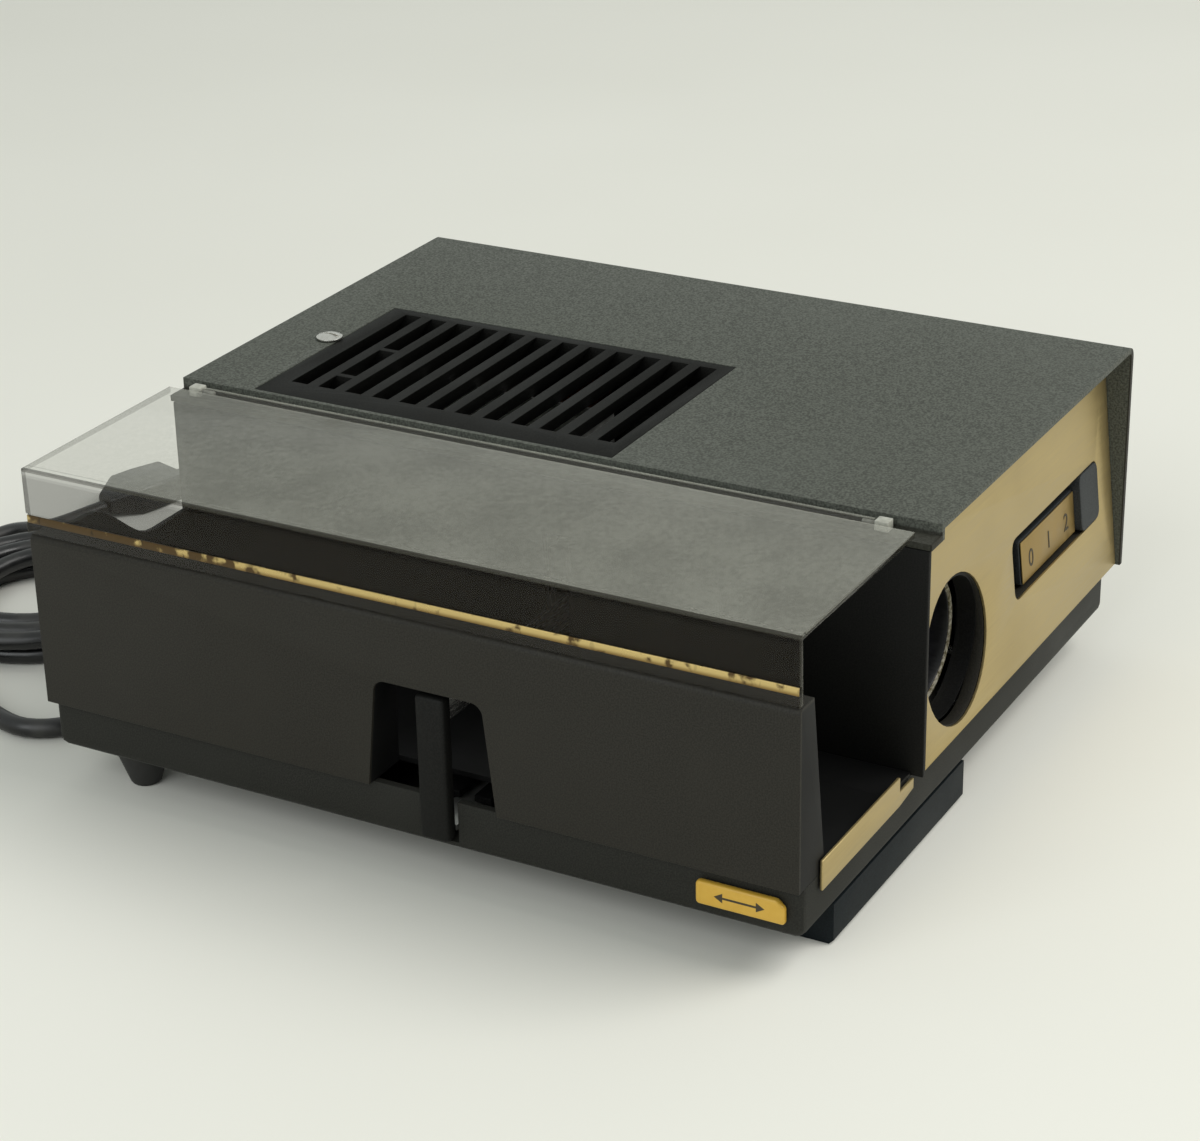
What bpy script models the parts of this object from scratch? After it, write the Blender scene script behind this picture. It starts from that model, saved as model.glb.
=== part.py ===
"""Straight-tray slide projector, built from its separate pieces.

Metres, +Z up. The lens looks along -Y, the slide tray channel and its clear lid
are on the -X side, and the origin is on the surface under the middle of the body.
"""

import math

import bmesh
import bpy
from mathutils import Matrix, Vector

# Driving dimensions of the whole projector
HOUSING_LENGTH = 0.2700
HOUSING_WIDTH = 0.1710
TRAY_SIDE_WIDTH = 0.0780
TOP_HEIGHT = 0.1110
FOOT_HEIGHT = 0.0140
BASE_HEIGHT = 0.0165
LENS_AXIS_ABOVE_DECK = 0.0281
LENS_AXIS_FROM_WALL = 0.0325
SLIDE_PLANE_FROM_REAR = 0.1450
SLIDE_SIZE = 0.0500

# Clearances shared by all pieces
SEAT_GAP = 0.0003
RUN_GAP = 0.0005
CUT_OVERRUN = 0.0030

# Planes that the driving dimensions set
X_NEAR = -(HOUSING_WIDTH + TRAY_SIDE_WIDTH) / 2
X_WALL = X_NEAR + TRAY_SIDE_WIDTH
X_FAR = X_WALL + HOUSING_WIDTH
Y_FRONT = -HOUSING_LENGTH / 2
Y_REAR = HOUSING_LENGTH / 2
Z_BASE = FOOT_HEIGHT
Z_DECK = FOOT_HEIGHT + BASE_HEIGHT
Z_TOP = TOP_HEIGHT
X_LENS = X_WALL + LENS_AXIS_FROM_WALL
Z_LENS = Z_DECK + LENS_AXIS_ABOVE_DECK
Y_GATE = Y_REAR - SLIDE_PLANE_FROM_REAR

FINE_ARC_STEPS = 6
ROUND_STEPS = 40
SMALL_ROUND_STEPS = 20
SMOOTH_ANGLE = math.radians(35)
MERGE_DISTANCE = 0.00001

parts = None
cutters = None


# Scene, materials and collections

def clear_scene():
    for old in list(bpy.data.objects):
        bpy.data.objects.remove(old, do_unlink=True)


def make_collection(name):
    collection = bpy.data.collections.new(name)
    bpy.context.scene.collection.children.link(collection)
    return collection


def material(name, colour, roughness, metallic=0.0, transmission=0.0):
    made = bpy.data.materials.get(name)
    if made is None:
        made = bpy.data.materials.new(name)
        made.use_nodes = True
        shader = made.node_tree.nodes["Principled BSDF"]
        shader.inputs["Base Color"].default_value = (*colour, 1.0)
        shader.inputs["Roughness"].default_value = roughness
        shader.inputs["Metallic"].default_value = metallic
        shader.inputs["Transmission Weight"].default_value = transmission
        made.diffuse_color = (*colour, 1.0)
    return made


def grey_paint():
    return material("grey_textured_paint", (0.085, 0.088, 0.084), 0.55)


def dark_plastic():
    return material("dark_moulded_plastic", (0.035, 0.033, 0.030), 0.60)


def black_plastic():
    return material("black_moulded_plastic", (0.012, 0.012, 0.012), 0.55)


def gold_sheet():
    return material("champagne_anodised_sheet", (0.47, 0.37, 0.19), 0.42, 0.8)


def zinc_steel():
    return material("zinc_plated_steel", (0.55, 0.55, 0.53), 0.35, 1.0)


def bright_steel():
    return material("ground_steel", (0.62, 0.61, 0.59), 0.22, 1.0)


def black_rubber():
    return material("black_rubber", (0.015, 0.015, 0.014), 0.80)


def clear_glass():
    return material("clear_glass", (0.95, 0.97, 0.97), 0.03, 0.0, 1.0)


def smoked_acrylic():
    return material("smoked_acrylic", (0.55, 0.53, 0.47), 0.10, 0.0, 0.85)


def lens_black():
    return material("lens_barrel_black", (0.020, 0.020, 0.021), 0.35)


def yellow_plastic():
    return material("yellow_moulded_plastic", (0.68, 0.43, 0.05), 0.45)


def transformer_iron():
    return material("varnished_laminations", (0.16, 0.15, 0.14), 0.50, 0.7)


def winding_varnish():
    return material("varnished_winding", (0.42, 0.19, 0.06), 0.40)


def ceramic():
    return material("lamp_ceramic", (0.80, 0.78, 0.72), 0.60)


def mirror_glass():
    return material("mirror_coating", (0.88, 0.88, 0.86), 0.06, 1.0)


# Modelling helpers

def select_only(obj):
    for other in bpy.context.selected_objects:
        other.select_set(False)
    obj.select_set(True)
    bpy.context.view_layer.objects.active = obj


def place_in(obj, collection):
    for old in list(obj.users_collection):
        old.objects.unlink(obj)
    collection.objects.link(obj)


def finish(obj, name, finish_material, smooth=False):
    """Name the piece, give it its material and put it with the parts."""
    obj.name = name
    obj.data.name = name
    obj.data.materials.clear()
    obj.data.materials.append(finish_material)
    place_in(obj, parts)
    if smooth:
        obj.data.shade_smooth()
        obj.data.set_sharp_from_angle(angle=SMOOTH_ANGLE)
    return obj


def block(low, high):
    """A box between two corners, with its scale applied."""
    centre = [(a + b) / 2 for a, b in zip(low, high)]
    bpy.ops.mesh.primitive_cube_add(size=1, location=centre)
    obj = bpy.context.active_object
    obj.scale = [b - a for a, b in zip(low, high)]
    select_only(obj)
    bpy.ops.object.transform_apply(location=False, rotation=False, scale=True)
    return obj


def rod(radius, start, end, steps=SMALL_ROUND_STEPS):
    """A cylinder between two points."""
    start, end = Vector(start), Vector(end)
    axis = end - start
    bpy.ops.mesh.primitive_cylinder_add(
        vertices=steps, radius=radius, depth=axis.length, location=(start + end) / 2)
    obj = bpy.context.active_object
    obj.rotation_mode = "QUATERNION"
    obj.rotation_quaternion = axis.to_track_quat("Z", "Y")
    return obj


def as_mesh(curve_object):
    """Swap a curve object for a mesh object with its caps welded."""
    bpy.context.view_layer.update()
    graph = bpy.context.evaluated_depsgraph_get()
    mesh = bpy.data.meshes.new_from_object(curve_object.evaluated_get(graph))
    shape = bmesh.new()
    shape.from_mesh(mesh)
    bmesh.ops.remove_doubles(shape, verts=shape.verts, dist=MERGE_DISTANCE)
    bmesh.ops.recalc_face_normals(shape, faces=shape.faces)
    shape.to_mesh(mesh)
    shape.free()
    obj = bpy.data.objects.new(curve_object.name, mesh)
    bpy.context.scene.collection.objects.link(obj)
    obj.matrix_world = curve_object.matrix_world.copy()
    bpy.data.objects.remove(curve_object, do_unlink=True)
    return obj


PLANE_TURNS = {
    "XY": (0, 0, 0),
    "XZ": (math.pi / 2, 0, 0),
    "YZ": (math.pi / 2, 0, math.pi / 2),
}


def prism(loops, plane, low, high):
    """A flat outline with holes, made thick between two places along its normal."""
    curve = bpy.data.curves.new("outline", "CURVE")
    curve.dimensions = "2D"
    curve.fill_mode = "BOTH"
    curve.extrude = abs(high - low) / 2
    for loop in loops:
        spline = curve.splines.new("POLY")
        spline.points.add(len(loop) - 1)
        for point, (across, up) in zip(spline.points, loop):
            point.co = (across, up, 0, 1)
        spline.use_cyclic_u = True
    obj = bpy.data.objects.new("outline", curve)
    bpy.context.scene.collection.objects.link(obj)
    middle = (low + high) / 2
    obj.rotation_euler = PLANE_TURNS[plane]
    obj.location = {
        "XY": (0, 0, middle), "XZ": (0, middle, 0), "YZ": (middle, 0, 0)}[plane]
    return as_mesh(obj)


def turned(profile, axis, place, steps=ROUND_STEPS):
    """A turned piece: (radius, along) pairs, from the top of the outside down."""
    mesh = bpy.data.meshes.new("profile")
    shape = bmesh.new()
    closed = profile[0] == profile[-1]
    if closed:
        profile = profile[:-1]
    verts = [shape.verts.new((radius, 0, along)) for radius, along in profile]
    for first, second in zip(verts, verts[1:]):
        shape.edges.new((first, second))
    if closed:
        shape.edges.new((verts[-1], verts[0]))
    shape.to_mesh(mesh)
    shape.free()
    obj = bpy.data.objects.new("profile", mesh)
    bpy.context.scene.collection.objects.link(obj)
    screw = obj.modifiers.new("turn", "SCREW")
    screw.steps = steps
    screw.render_steps = steps
    screw.use_merge_vertices = True
    screw.merge_threshold = MERGE_DISTANCE
    screw.use_normal_calculate = False
    obj.location = place
    obj.rotation_euler = {
        "X": (0, math.pi / 2, 0), "Y": (-math.pi / 2, 0, 0), "Z": (0, 0, 0)}[axis]
    return apply_all(obj)


def combine(target, tool, operation="DIFFERENCE"):
    """Cut the tool from the target, or join it on, with an exact Boolean."""
    place_in(tool, cutters)
    tool.hide_render = True
    tool.display_type = "WIRE"
    joint = target.modifiers.new(operation.lower(), "BOOLEAN")
    joint.operation = operation
    joint.solver = "EXACT"
    joint.object = tool
    return target


def cut_block(target, low, high):
    return combine(target, block(low, high))


def cut_rod(target, radius, start, end, steps=SMALL_ROUND_STEPS):
    return combine(target, rod(radius, start, end, steps))


def join(target, tool):
    return combine(target, tool, "UNION")


def soften(obj, width, segments=2, angle=math.radians(40)):
    bevel = obj.modifiers.new("soften", "BEVEL")
    bevel.width = width
    bevel.segments = segments
    bevel.limit_method = "ANGLE"
    bevel.angle_limit = angle
    return obj


def arc(centre, radius, start, end, steps=FINE_ARC_STEPS):
    """Points on an arc, in a plane, between two angles in degrees."""
    points = []
    for index in range(steps + 1):
        angle = math.radians(start + (end - start) * index / steps)
        points.append((centre[0] + radius * math.cos(angle),
                       centre[1] + radius * math.sin(angle)))
    return points


def circle(centre, radius, steps=ROUND_STEPS):
    return arc(centre, radius, 0, 360 * (steps - 1) / steps, steps - 1)


def rounded_box(low, high, radius, steps=4):
    """A rectangle outline with round corners."""
    (x0, y0), (x1, y1) = low, high
    return (arc((x1 - radius, y1 - radius), radius, 0, 90, steps)
            + arc((x0 + radius, y1 - radius), radius, 90, 180, steps)
            + arc((x0 + radius, y0 + radius), radius, 180, 270, steps)
            + arc((x1 - radius, y0 + radius), radius, 270, 360, steps))


def empty(name, location, rotation=(0, 0, 0)):
    obj = bpy.data.objects.new(name, None)
    bpy.context.scene.collection.objects.link(obj)
    obj.location = location
    obj.rotation_euler = rotation
    place_in(obj, parts)
    return obj


def hang_on(parent, *pieces):
    """Parent pieces to an empty without moving them."""
    bpy.context.view_layer.update()
    for piece in pieces:
        piece.parent = parent
        piece.matrix_parent_inverse = parent.matrix_world.inverted()


# Base pan: a shallow moulded tray that carries everything

BASE_SIDE_INSET = 0.0030
BASE_FRONT_INSET = 0.0050
BASE_REAR_INSET = 0.0015
BASE_WALL = 0.0025
BASE_EDGE = 0.0030

X_BASE_NEAR = X_NEAR + BASE_SIDE_INSET
X_BASE_FAR = X_FAR - BASE_SIDE_INSET
Y_BASE_FRONT = Y_FRONT + BASE_FRONT_INSET
Y_BASE_REAR = Y_REAR - BASE_REAR_INSET
Z_BASE_FLOOR = Z_BASE + BASE_WALL

SCREW_SHANK = 0.0015
SCREW_HOLE = 0.0018
BOSS_RADIUS = 0.0040
BOSS_FROM_WALL = 0.0120
BOSS_FROM_FAR = 0.0300
BOSS_FROM_FRONT = 0.0400
BOSS_FROM_REAR = 0.0200
VENT_COUNT = 7
VENT_WIDTH = 0.0030
VENT_PITCH = 0.0070
VENT_LENGTH = 0.0380
VENT_FROM_LENS = 0.0240

# Lamp, which the air vents in the floor lie under
LAMP_BEHIND_GATE = 0.0720
Y_LAMP = Y_GATE + LAMP_BEHIND_GATE

# Sheet-steel chassis on the base pan's rim, under the housing
CHASSIS_THICKNESS = 0.0012
Z_CHASSIS = Z_DECK + RUN_GAP
Z_CHASSIS_TOP = Z_CHASSIS + CHASSIS_THICKNESS

# Channel wall between the tray channel and the housing
CHANNEL_WALL_THICKNESS = 0.0020
X_INSIDE = X_WALL + CHANNEL_WALL_THICKNESS + SEAT_GAP

# Slide changer sizes that several pieces follow
CHANGER_STROKE = 0.0680
HANDLE_WIDTH = 0.0100
HANDLE_THICKNESS = 0.0050
HANDLE_SETBACK = 0.0003
HANDLE_RISE = 0.0345
HANDLE_ABOVE_BASE = 0.0030
HANDLE_SLIT = 0.0020
ARM_THICKNESS = 0.0020
ARM_ABOVE_FLOOR = 0.0025
BLADE_THICKNESS = 0.0012
FINGER_LENGTH = 0.0060
FINGER_BELOW_LENS = 0.0136
FINGER_LOST_MOTION = 0.0040
CHANGER_SLOT_WIDTH = 0.0020

X_HANDLE = X_NEAR + HANDLE_SETBACK
X_HANDLE_BACK = X_HANDLE + HANDLE_THICKNESS
X_SLIDE_NEAR = X_LENS - SLIDE_SIZE / 2
X_SLIDE_FAR = X_LENS + SLIDE_SIZE / 2
X_FINGER = X_SLIDE_FAR + SEAT_GAP + FINGER_LOST_MOTION
X_ARM_END = X_FINGER + FINGER_LENGTH
Z_HANDLE = Z_BASE + HANDLE_ABOVE_BASE
Z_HANDLE_TOP = Z_DECK + HANDLE_RISE
Z_ARM = Z_BASE_FLOOR + ARM_ABOVE_FLOOR
Z_FINGER_TOP = Z_LENS - FINGER_BELOW_LENS

# Focus sizes that several pieces follow
FOCUS_TRAVEL = 0.0050
FOCUS_ARM_WIDTH = 0.0080
FOCUS_ARM_THICKNESS = 0.0015
FOCUS_ARM_ABOVE_FLOOR = 0.0057
FOCUS_FROM_FRONT = 0.0236
Y_FOCUS = Y_FRONT + FOCUS_FROM_FRONT
Z_FOCUS_ARM = Z_BASE_FLOOR + FOCUS_ARM_ABOVE_FLOOR

# Tilt foot hinge
TILT_AXIS_FROM_FRONT = 0.0280
TILT_AXIS_BELOW_BASE = 0.0048
TILT_EAR_RADIUS = 0.0048
TILT_EAR_THICKNESS = 0.0040
TILT_EAR_SPREAD = 0.0300
TILT_PIN_RADIUS = 0.0015
TILT_PIN_CLEARANCE = 0.0003
TILT_FOOT_WIDTH = 0.0975
TILT_FOOT_FROM_NEAR = 0.0260
Y_TILT = Y_FRONT + TILT_AXIS_FROM_FRONT
Z_TILT = Z_BASE - TILT_AXIS_BELOW_BASE
X_TILT = X_NEAR + TILT_FOOT_FROM_NEAR + TILT_FOOT_WIDTH / 2

# Rear feet
REAR_FOOT_INSET_X = 0.0165
REAR_FOOT_INSET_Y = 0.0250
REAR_FOOT_PEG = 0.0025
REAR_FOOT_HOLE = 0.0028

# Mains cord, where it leaves the base pan
CORD_DIAMETER = 0.0066
CORD_EXIT_FROM_FAR = 0.0310
CORD_EXIT_ABOVE_BASE = 0.0085
RELIEF_NECK = 0.0042
RELIEF_HOLE = 0.0045
X_CORD_EXIT = X_FAR - CORD_EXIT_FROM_FAR
Z_CORD_EXIT = Z_BASE + CORD_EXIT_ABOVE_BASE


# Tray advance gear, whose rim stands in a slot of the channel floor
GEAR_RADIUS = 0.0088
GEAR_TEETH = 16
GEAR_TOOTH = 0.0016
GEAR_WIDTH = 0.0040
GEAR_FROM_WALL = 0.0085
GEAR_AHEAD_OF_GATE = 0.0250
GEAR_AXIS_BELOW_DECK = 0.0033
GEAR_AXLE = 0.0015
GEAR_AXLE_BORE = 0.0018
GEAR_POST = 0.0022
GEAR_POST_GAP = 0.0006
GEAR_POST_LENGTH = 0.0080
GEAR_POST_TOP_GAP = 0.0006
X_GEAR = X_WALL - GEAR_FROM_WALL
Y_GEAR = Y_GATE - GEAR_AHEAD_OF_GATE
Z_GEAR = Z_DECK - GEAR_AXIS_BELOW_DECK


def base_screw_places():
    return [(x, y)
            for x in (X_WALL + BOSS_FROM_WALL, X_FAR - BOSS_FROM_FAR)
            for y in (Y_FRONT + BOSS_FROM_FRONT, Y_REAR - BOSS_FROM_REAR)]


def rear_foot_places():
    y = Y_REAR - REAR_FOOT_INSET_Y
    return [(X_NEAR + REAR_FOOT_INSET_X, y), (X_FAR - REAR_FOOT_INSET_X, y)]


def tilt_ear_places():
    return [X_TILT - TILT_EAR_SPREAD, X_TILT + TILT_EAR_SPREAD]


def make_base_pan():
    """Open moulded tray with rounded edges, screw bosses, vents and foot ears."""
    pan = block((X_BASE_NEAR, Y_BASE_FRONT, Z_BASE), (X_BASE_FAR, Y_BASE_REAR, Z_DECK))
    shape = bmesh.new()
    shape.from_mesh(pan.data)
    lids = [face for face in shape.faces if face.normal.z > 0.5]
    bmesh.ops.delete(shape, geom=lids, context="FACES")
    shape.to_mesh(pan.data)
    shape.free()
    soften(pan, BASE_EDGE, 3)
    shell = pan.modifiers.new("shell", "SOLIDIFY")
    shell.thickness = BASE_WALL
    shell.offset = -1

    for x, y in base_screw_places():
        join(pan, rod(BOSS_RADIUS, (x, y, Z_BASE_FLOOR - BASE_WALL / 2), (x, y, Z_DECK)))
    for x in tilt_ear_places():
        join(pan, make_tilt_ear(x))
    for side in (-1, 1):
        join(pan, make_gear_post(side))

    for x, y in base_screw_places():
        cut_rod(pan, SCREW_HOLE, (x, y, Z_BASE - CUT_OVERRUN), (x, y, Z_DECK + CUT_OVERRUN))
    for x, y in rear_foot_places():
        cut_rod(pan, REAR_FOOT_HOLE, (x, y, Z_BASE - CUT_OVERRUN),
                (x, y, Z_BASE_FLOOR + CUT_OVERRUN))
    bore = TILT_PIN_RADIUS + TILT_PIN_CLEARANCE
    reach = TILT_EAR_SPREAD + TILT_EAR_THICKNESS
    cut_rod(pan, bore, (X_TILT - reach, Y_TILT, Z_TILT),
            (X_TILT + reach, Y_TILT, Z_TILT))

    reach = GEAR_WIDTH / 2 + GEAR_POST_GAP + GEAR_POST + CUT_OVERRUN
    cut_rod(pan, GEAR_AXLE_BORE, (X_GEAR - reach, Y_GEAR, Z_GEAR),
            (X_GEAR + reach, Y_GEAR, Z_GEAR))
    cut_changer_notch(pan)
    cut_focus_slot(pan)
    cut_rod(pan, RELIEF_HOLE, (X_CORD_EXIT, Y_BASE_REAR - BASE_WALL - CUT_OVERRUN,
                               Z_CORD_EXIT),
            (X_CORD_EXIT, Y_BASE_REAR + CUT_OVERRUN, Z_CORD_EXIT))
    combine(pan, vent_slots(Z_BASE - CUT_OVERRUN, Z_BASE_FLOOR + CUT_OVERRUN))
    return finish(pan, "base_pan", dark_plastic())


def make_tilt_ear(x):
    """Ear under the base pan with a round end about the tilt foot's pin."""
    top = Z_BASE + BASE_WALL / 2
    outline = ([(Y_TILT + TILT_EAR_RADIUS, top), (Y_TILT - TILT_EAR_RADIUS, top)]
               + arc((Y_TILT, Z_TILT), TILT_EAR_RADIUS, 180, 360))
    return prism([outline], "YZ", x - TILT_EAR_THICKNESS / 2, x + TILT_EAR_THICKNESS / 2)


def make_gear_post(side):
    """Bearing post for one stub axle of the tray gear."""
    inside = GEAR_WIDTH / 2 + GEAR_POST_GAP
    x0, x1 = sorted((X_GEAR + side * inside, X_GEAR + side * (inside + GEAR_POST)))
    return block((x0, Y_GEAR - GEAR_POST_LENGTH / 2, Z_BASE_FLOOR - BASE_WALL / 2),
                 (x1, Y_GEAR + GEAR_POST_LENGTH / 2, Z_DECK - GEAR_POST_TOP_GAP))


def cut_changer_notch(pan):
    """Notch in the near wall for the changer handle, with a slit beside it."""
    cut_block(pan,
              (X_BASE_NEAR - CUT_OVERRUN, Y_GATE - HANDLE_WIDTH / 2 - HANDLE_SLIT,
               Z_HANDLE - SEAT_GAP),
              (X_BASE_NEAR + BASE_WALL + CUT_OVERRUN, Y_GATE + HANDLE_WIDTH / 2 + SEAT_GAP,
               Z_DECK + CUT_OVERRUN))


def cut_focus_slot(pan):
    """Slot in the near wall for the stem of the focus tab and its travel."""
    half = FOCUS_ARM_WIDTH / 2 + FOCUS_TRAVEL + RUN_GAP
    low = Z_FOCUS_ARM - RUN_GAP
    high = Z_FOCUS_ARM + FOCUS_ARM_THICKNESS + RUN_GAP
    cut_block(pan, (X_BASE_NEAR - CUT_OVERRUN, Y_FOCUS - half, low),
              (X_BASE_NEAR + BASE_WALL + CUT_OVERRUN, Y_FOCUS + half, high))


def vent_slots(low, high):
    """A row of round-ended slots, used in the pan's floor and in the chassis."""
    loops = []
    first = X_LENS + VENT_FROM_LENS - VENT_PITCH * (VENT_COUNT - 1) / 2
    for index in range(VENT_COUNT):
        x = first + index * VENT_PITCH
        loops.append(rounded_box(
            (x - VENT_WIDTH / 2, Y_LAMP - VENT_LENGTH / 2),
            (x + VENT_WIDTH / 2, Y_LAMP + VENT_LENGTH / 2), VENT_WIDTH / 2, 3))
    return prism(loops, "XY", low, high)


# Base screws: pan heads under the base, shanks up through the bosses

SCREW_HEAD_RADIUS = 0.0030
SCREW_HEAD_HEIGHT = 0.0018
SCREW_REACH = 0.0010


def make_base_screws():
    """Four pan-head fasteners, one up into each boss."""
    top = Z_CHASSIS_TOP + SCREW_REACH
    bottom = Z_BASE - SEAT_GAP - SCREW_HEAD_HEIGHT
    height = top - bottom
    profile = [(0, height), (SCREW_SHANK, height), (SCREW_SHANK, SCREW_HEAD_HEIGHT),
               (SCREW_HEAD_RADIUS, SCREW_HEAD_HEIGHT),
               (SCREW_HEAD_RADIUS, SCREW_HEAD_HEIGHT / 2), (SCREW_SHANK, 0), (0, 0)]
    for index, (x, y) in enumerate(base_screw_places(), 1):
        screw = turned(profile, "Z", (x, y, bottom), SMALL_ROUND_STEPS)
        finish(screw, f"base_screw_{index}", zinc_steel(), smooth=True)


def apply_all(obj):
    """The object with its modifiers and its place worked into its mesh."""
    bpy.context.view_layer.update()
    graph = bpy.context.evaluated_depsgraph_get()
    mesh = bpy.data.meshes.new_from_object(obj.evaluated_get(graph))
    mesh.transform(obj.matrix_world)
    made = bpy.data.objects.new(obj.name, mesh)
    bpy.context.scene.collection.objects.link(made)
    bpy.data.objects.remove(obj, do_unlink=True)
    return made


def gather(objects):
    """Several loose solids as one object."""
    shape = bmesh.new()
    for obj in objects:
        shape.from_mesh(obj.data)
    mesh = bpy.data.meshes.new("group")
    shape.to_mesh(mesh)
    shape.free()
    for obj in objects:
        bpy.data.objects.remove(obj, do_unlink=True)
    group = bpy.data.objects.new("group", mesh)
    bpy.context.scene.collection.objects.link(group)
    return group


# Rear feet: tapered rubber cones with pegs through the pan's floor

REAR_FOOT_TOP_RADIUS = 0.0095
REAR_FOOT_BOTTOM_RADIUS = 0.0050
REAR_FOOT_PEG_REACH = 0.0010
REAR_FOOT_ROUND = 0.0008


def make_rear_feet():
    """Two rubber feet, pressed into the base pan by their pegs."""
    top = Z_BASE - SEAT_GAP
    peg_top = Z_BASE_FLOOR + REAR_FOOT_PEG_REACH
    profile = [(0, peg_top), (REAR_FOOT_PEG, peg_top), (REAR_FOOT_PEG, top),
               (REAR_FOOT_TOP_RADIUS, top),
               (REAR_FOOT_BOTTOM_RADIUS, REAR_FOOT_ROUND),
               (REAR_FOOT_BOTTOM_RADIUS - REAR_FOOT_ROUND, 0), (0, 0)]
    for name, (x, y) in zip(("rear_foot_near", "rear_foot_far"), rear_foot_places()):
        foot = turned(profile, "Z", (x, y, 0), SMALL_ROUND_STEPS)
        finish(foot, name, black_rubber(), smooth=True)


# Tilt foot: a broad flap under the front that swings down to raise the lens

TILT_FOOT_FRONT_SETBACK = 0.0008
TILT_PAD_LENGTH = 0.0110
TILT_PAD_SETBACK = 0.0015
TILT_FOOT_EDGE = 0.0012
TILT_RANGE_TOP_GAP = 0.0004


def make_tilt_foot():
    """Wedge-shaped flap, notched for the two ears and bored for the pin."""
    top = Z_BASE - TILT_RANGE_TOP_GAP
    hinge_round = top - Z_TILT
    front = Y_BASE_FRONT + TILT_FOOT_FRONT_SETBACK
    outline = ([(front, top), (front, TILT_PAD_SETBACK), (front + TILT_PAD_SETBACK, 0),
                (front + TILT_PAD_SETBACK + TILT_PAD_LENGTH, 0)]
               + arc((Y_TILT, Z_TILT), hinge_round, -70, 90))
    foot = prism([outline], "YZ", X_TILT - TILT_FOOT_WIDTH / 2, X_TILT + TILT_FOOT_WIDTH / 2)
    notch = TILT_EAR_THICKNESS / 2 + RUN_GAP
    reach = TILT_EAR_RADIUS + TILT_FOOT_EDGE
    for x in tilt_ear_places():
        cut_block(foot, (x - notch, Y_TILT - reach, -CUT_OVERRUN),
                  (x + notch, Y_TILT + reach, Z_BASE))
    cut_rod(foot, TILT_PIN_RADIUS + TILT_PIN_CLEARANCE,
            (X_TILT - TILT_FOOT_WIDTH, Y_TILT, Z_TILT),
            (X_TILT + TILT_FOOT_WIDTH, Y_TILT, Z_TILT))
    soften(foot, TILT_FOOT_EDGE / 2, 1)
    return finish(foot, "tilt_foot", black_plastic())


def make_tilt_foot_pin():
    reach = TILT_FOOT_WIDTH / 2 - TILT_FOOT_EDGE
    pin = rod(TILT_PIN_RADIUS, (X_TILT - reach, Y_TILT, Z_TILT),
              (X_TILT + reach, Y_TILT, Z_TILT))
    return finish(pin, "tilt_foot_pin", bright_steel(), smooth=True)


# Tray casing: hollow near wall and the floor of the tray channel, in one moulding

CASING_TOP_DROP = 0.0220
CASING_RIM_WIDTH = 0.0090
CASING_FOOT_WIDTH = 0.0168
CASING_SKIN = 0.0025
CASING_EDGE = 0.0020
CASING_FRONT_INSET = 0.0048
CASING_REAR_INSET = 0.0015
CHANNEL_FLOOR_THICKNESS = 0.0018
RACK_GROOVE_WIDTH = 0.0175
RACK_GROOVE_DEPTH = 0.0006
NOTCH_BOTTOM_WIDTH = 0.0450
NOTCH_TOP_WIDTH = 0.0375
NOTCH_HEIGHT = 0.0362
NOTCH_CORNER = 0.0040

Z_CASING = Z_DECK + SEAT_GAP
Z_CASING_TOP = Z_TOP - CASING_TOP_DROP
Z_CHANNEL = Z_CASING + CHANNEL_FLOOR_THICKNESS
Y_CASING_FRONT = Y_FRONT + CASING_FRONT_INSET
Y_CASING_REAR = Y_REAR - CASING_REAR_INSET
X_CHANNEL_FOOT = X_NEAR + CASING_FOOT_WIDTH
Z_SEAT = Z_CHANNEL - RACK_GROOVE_DEPTH


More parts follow.
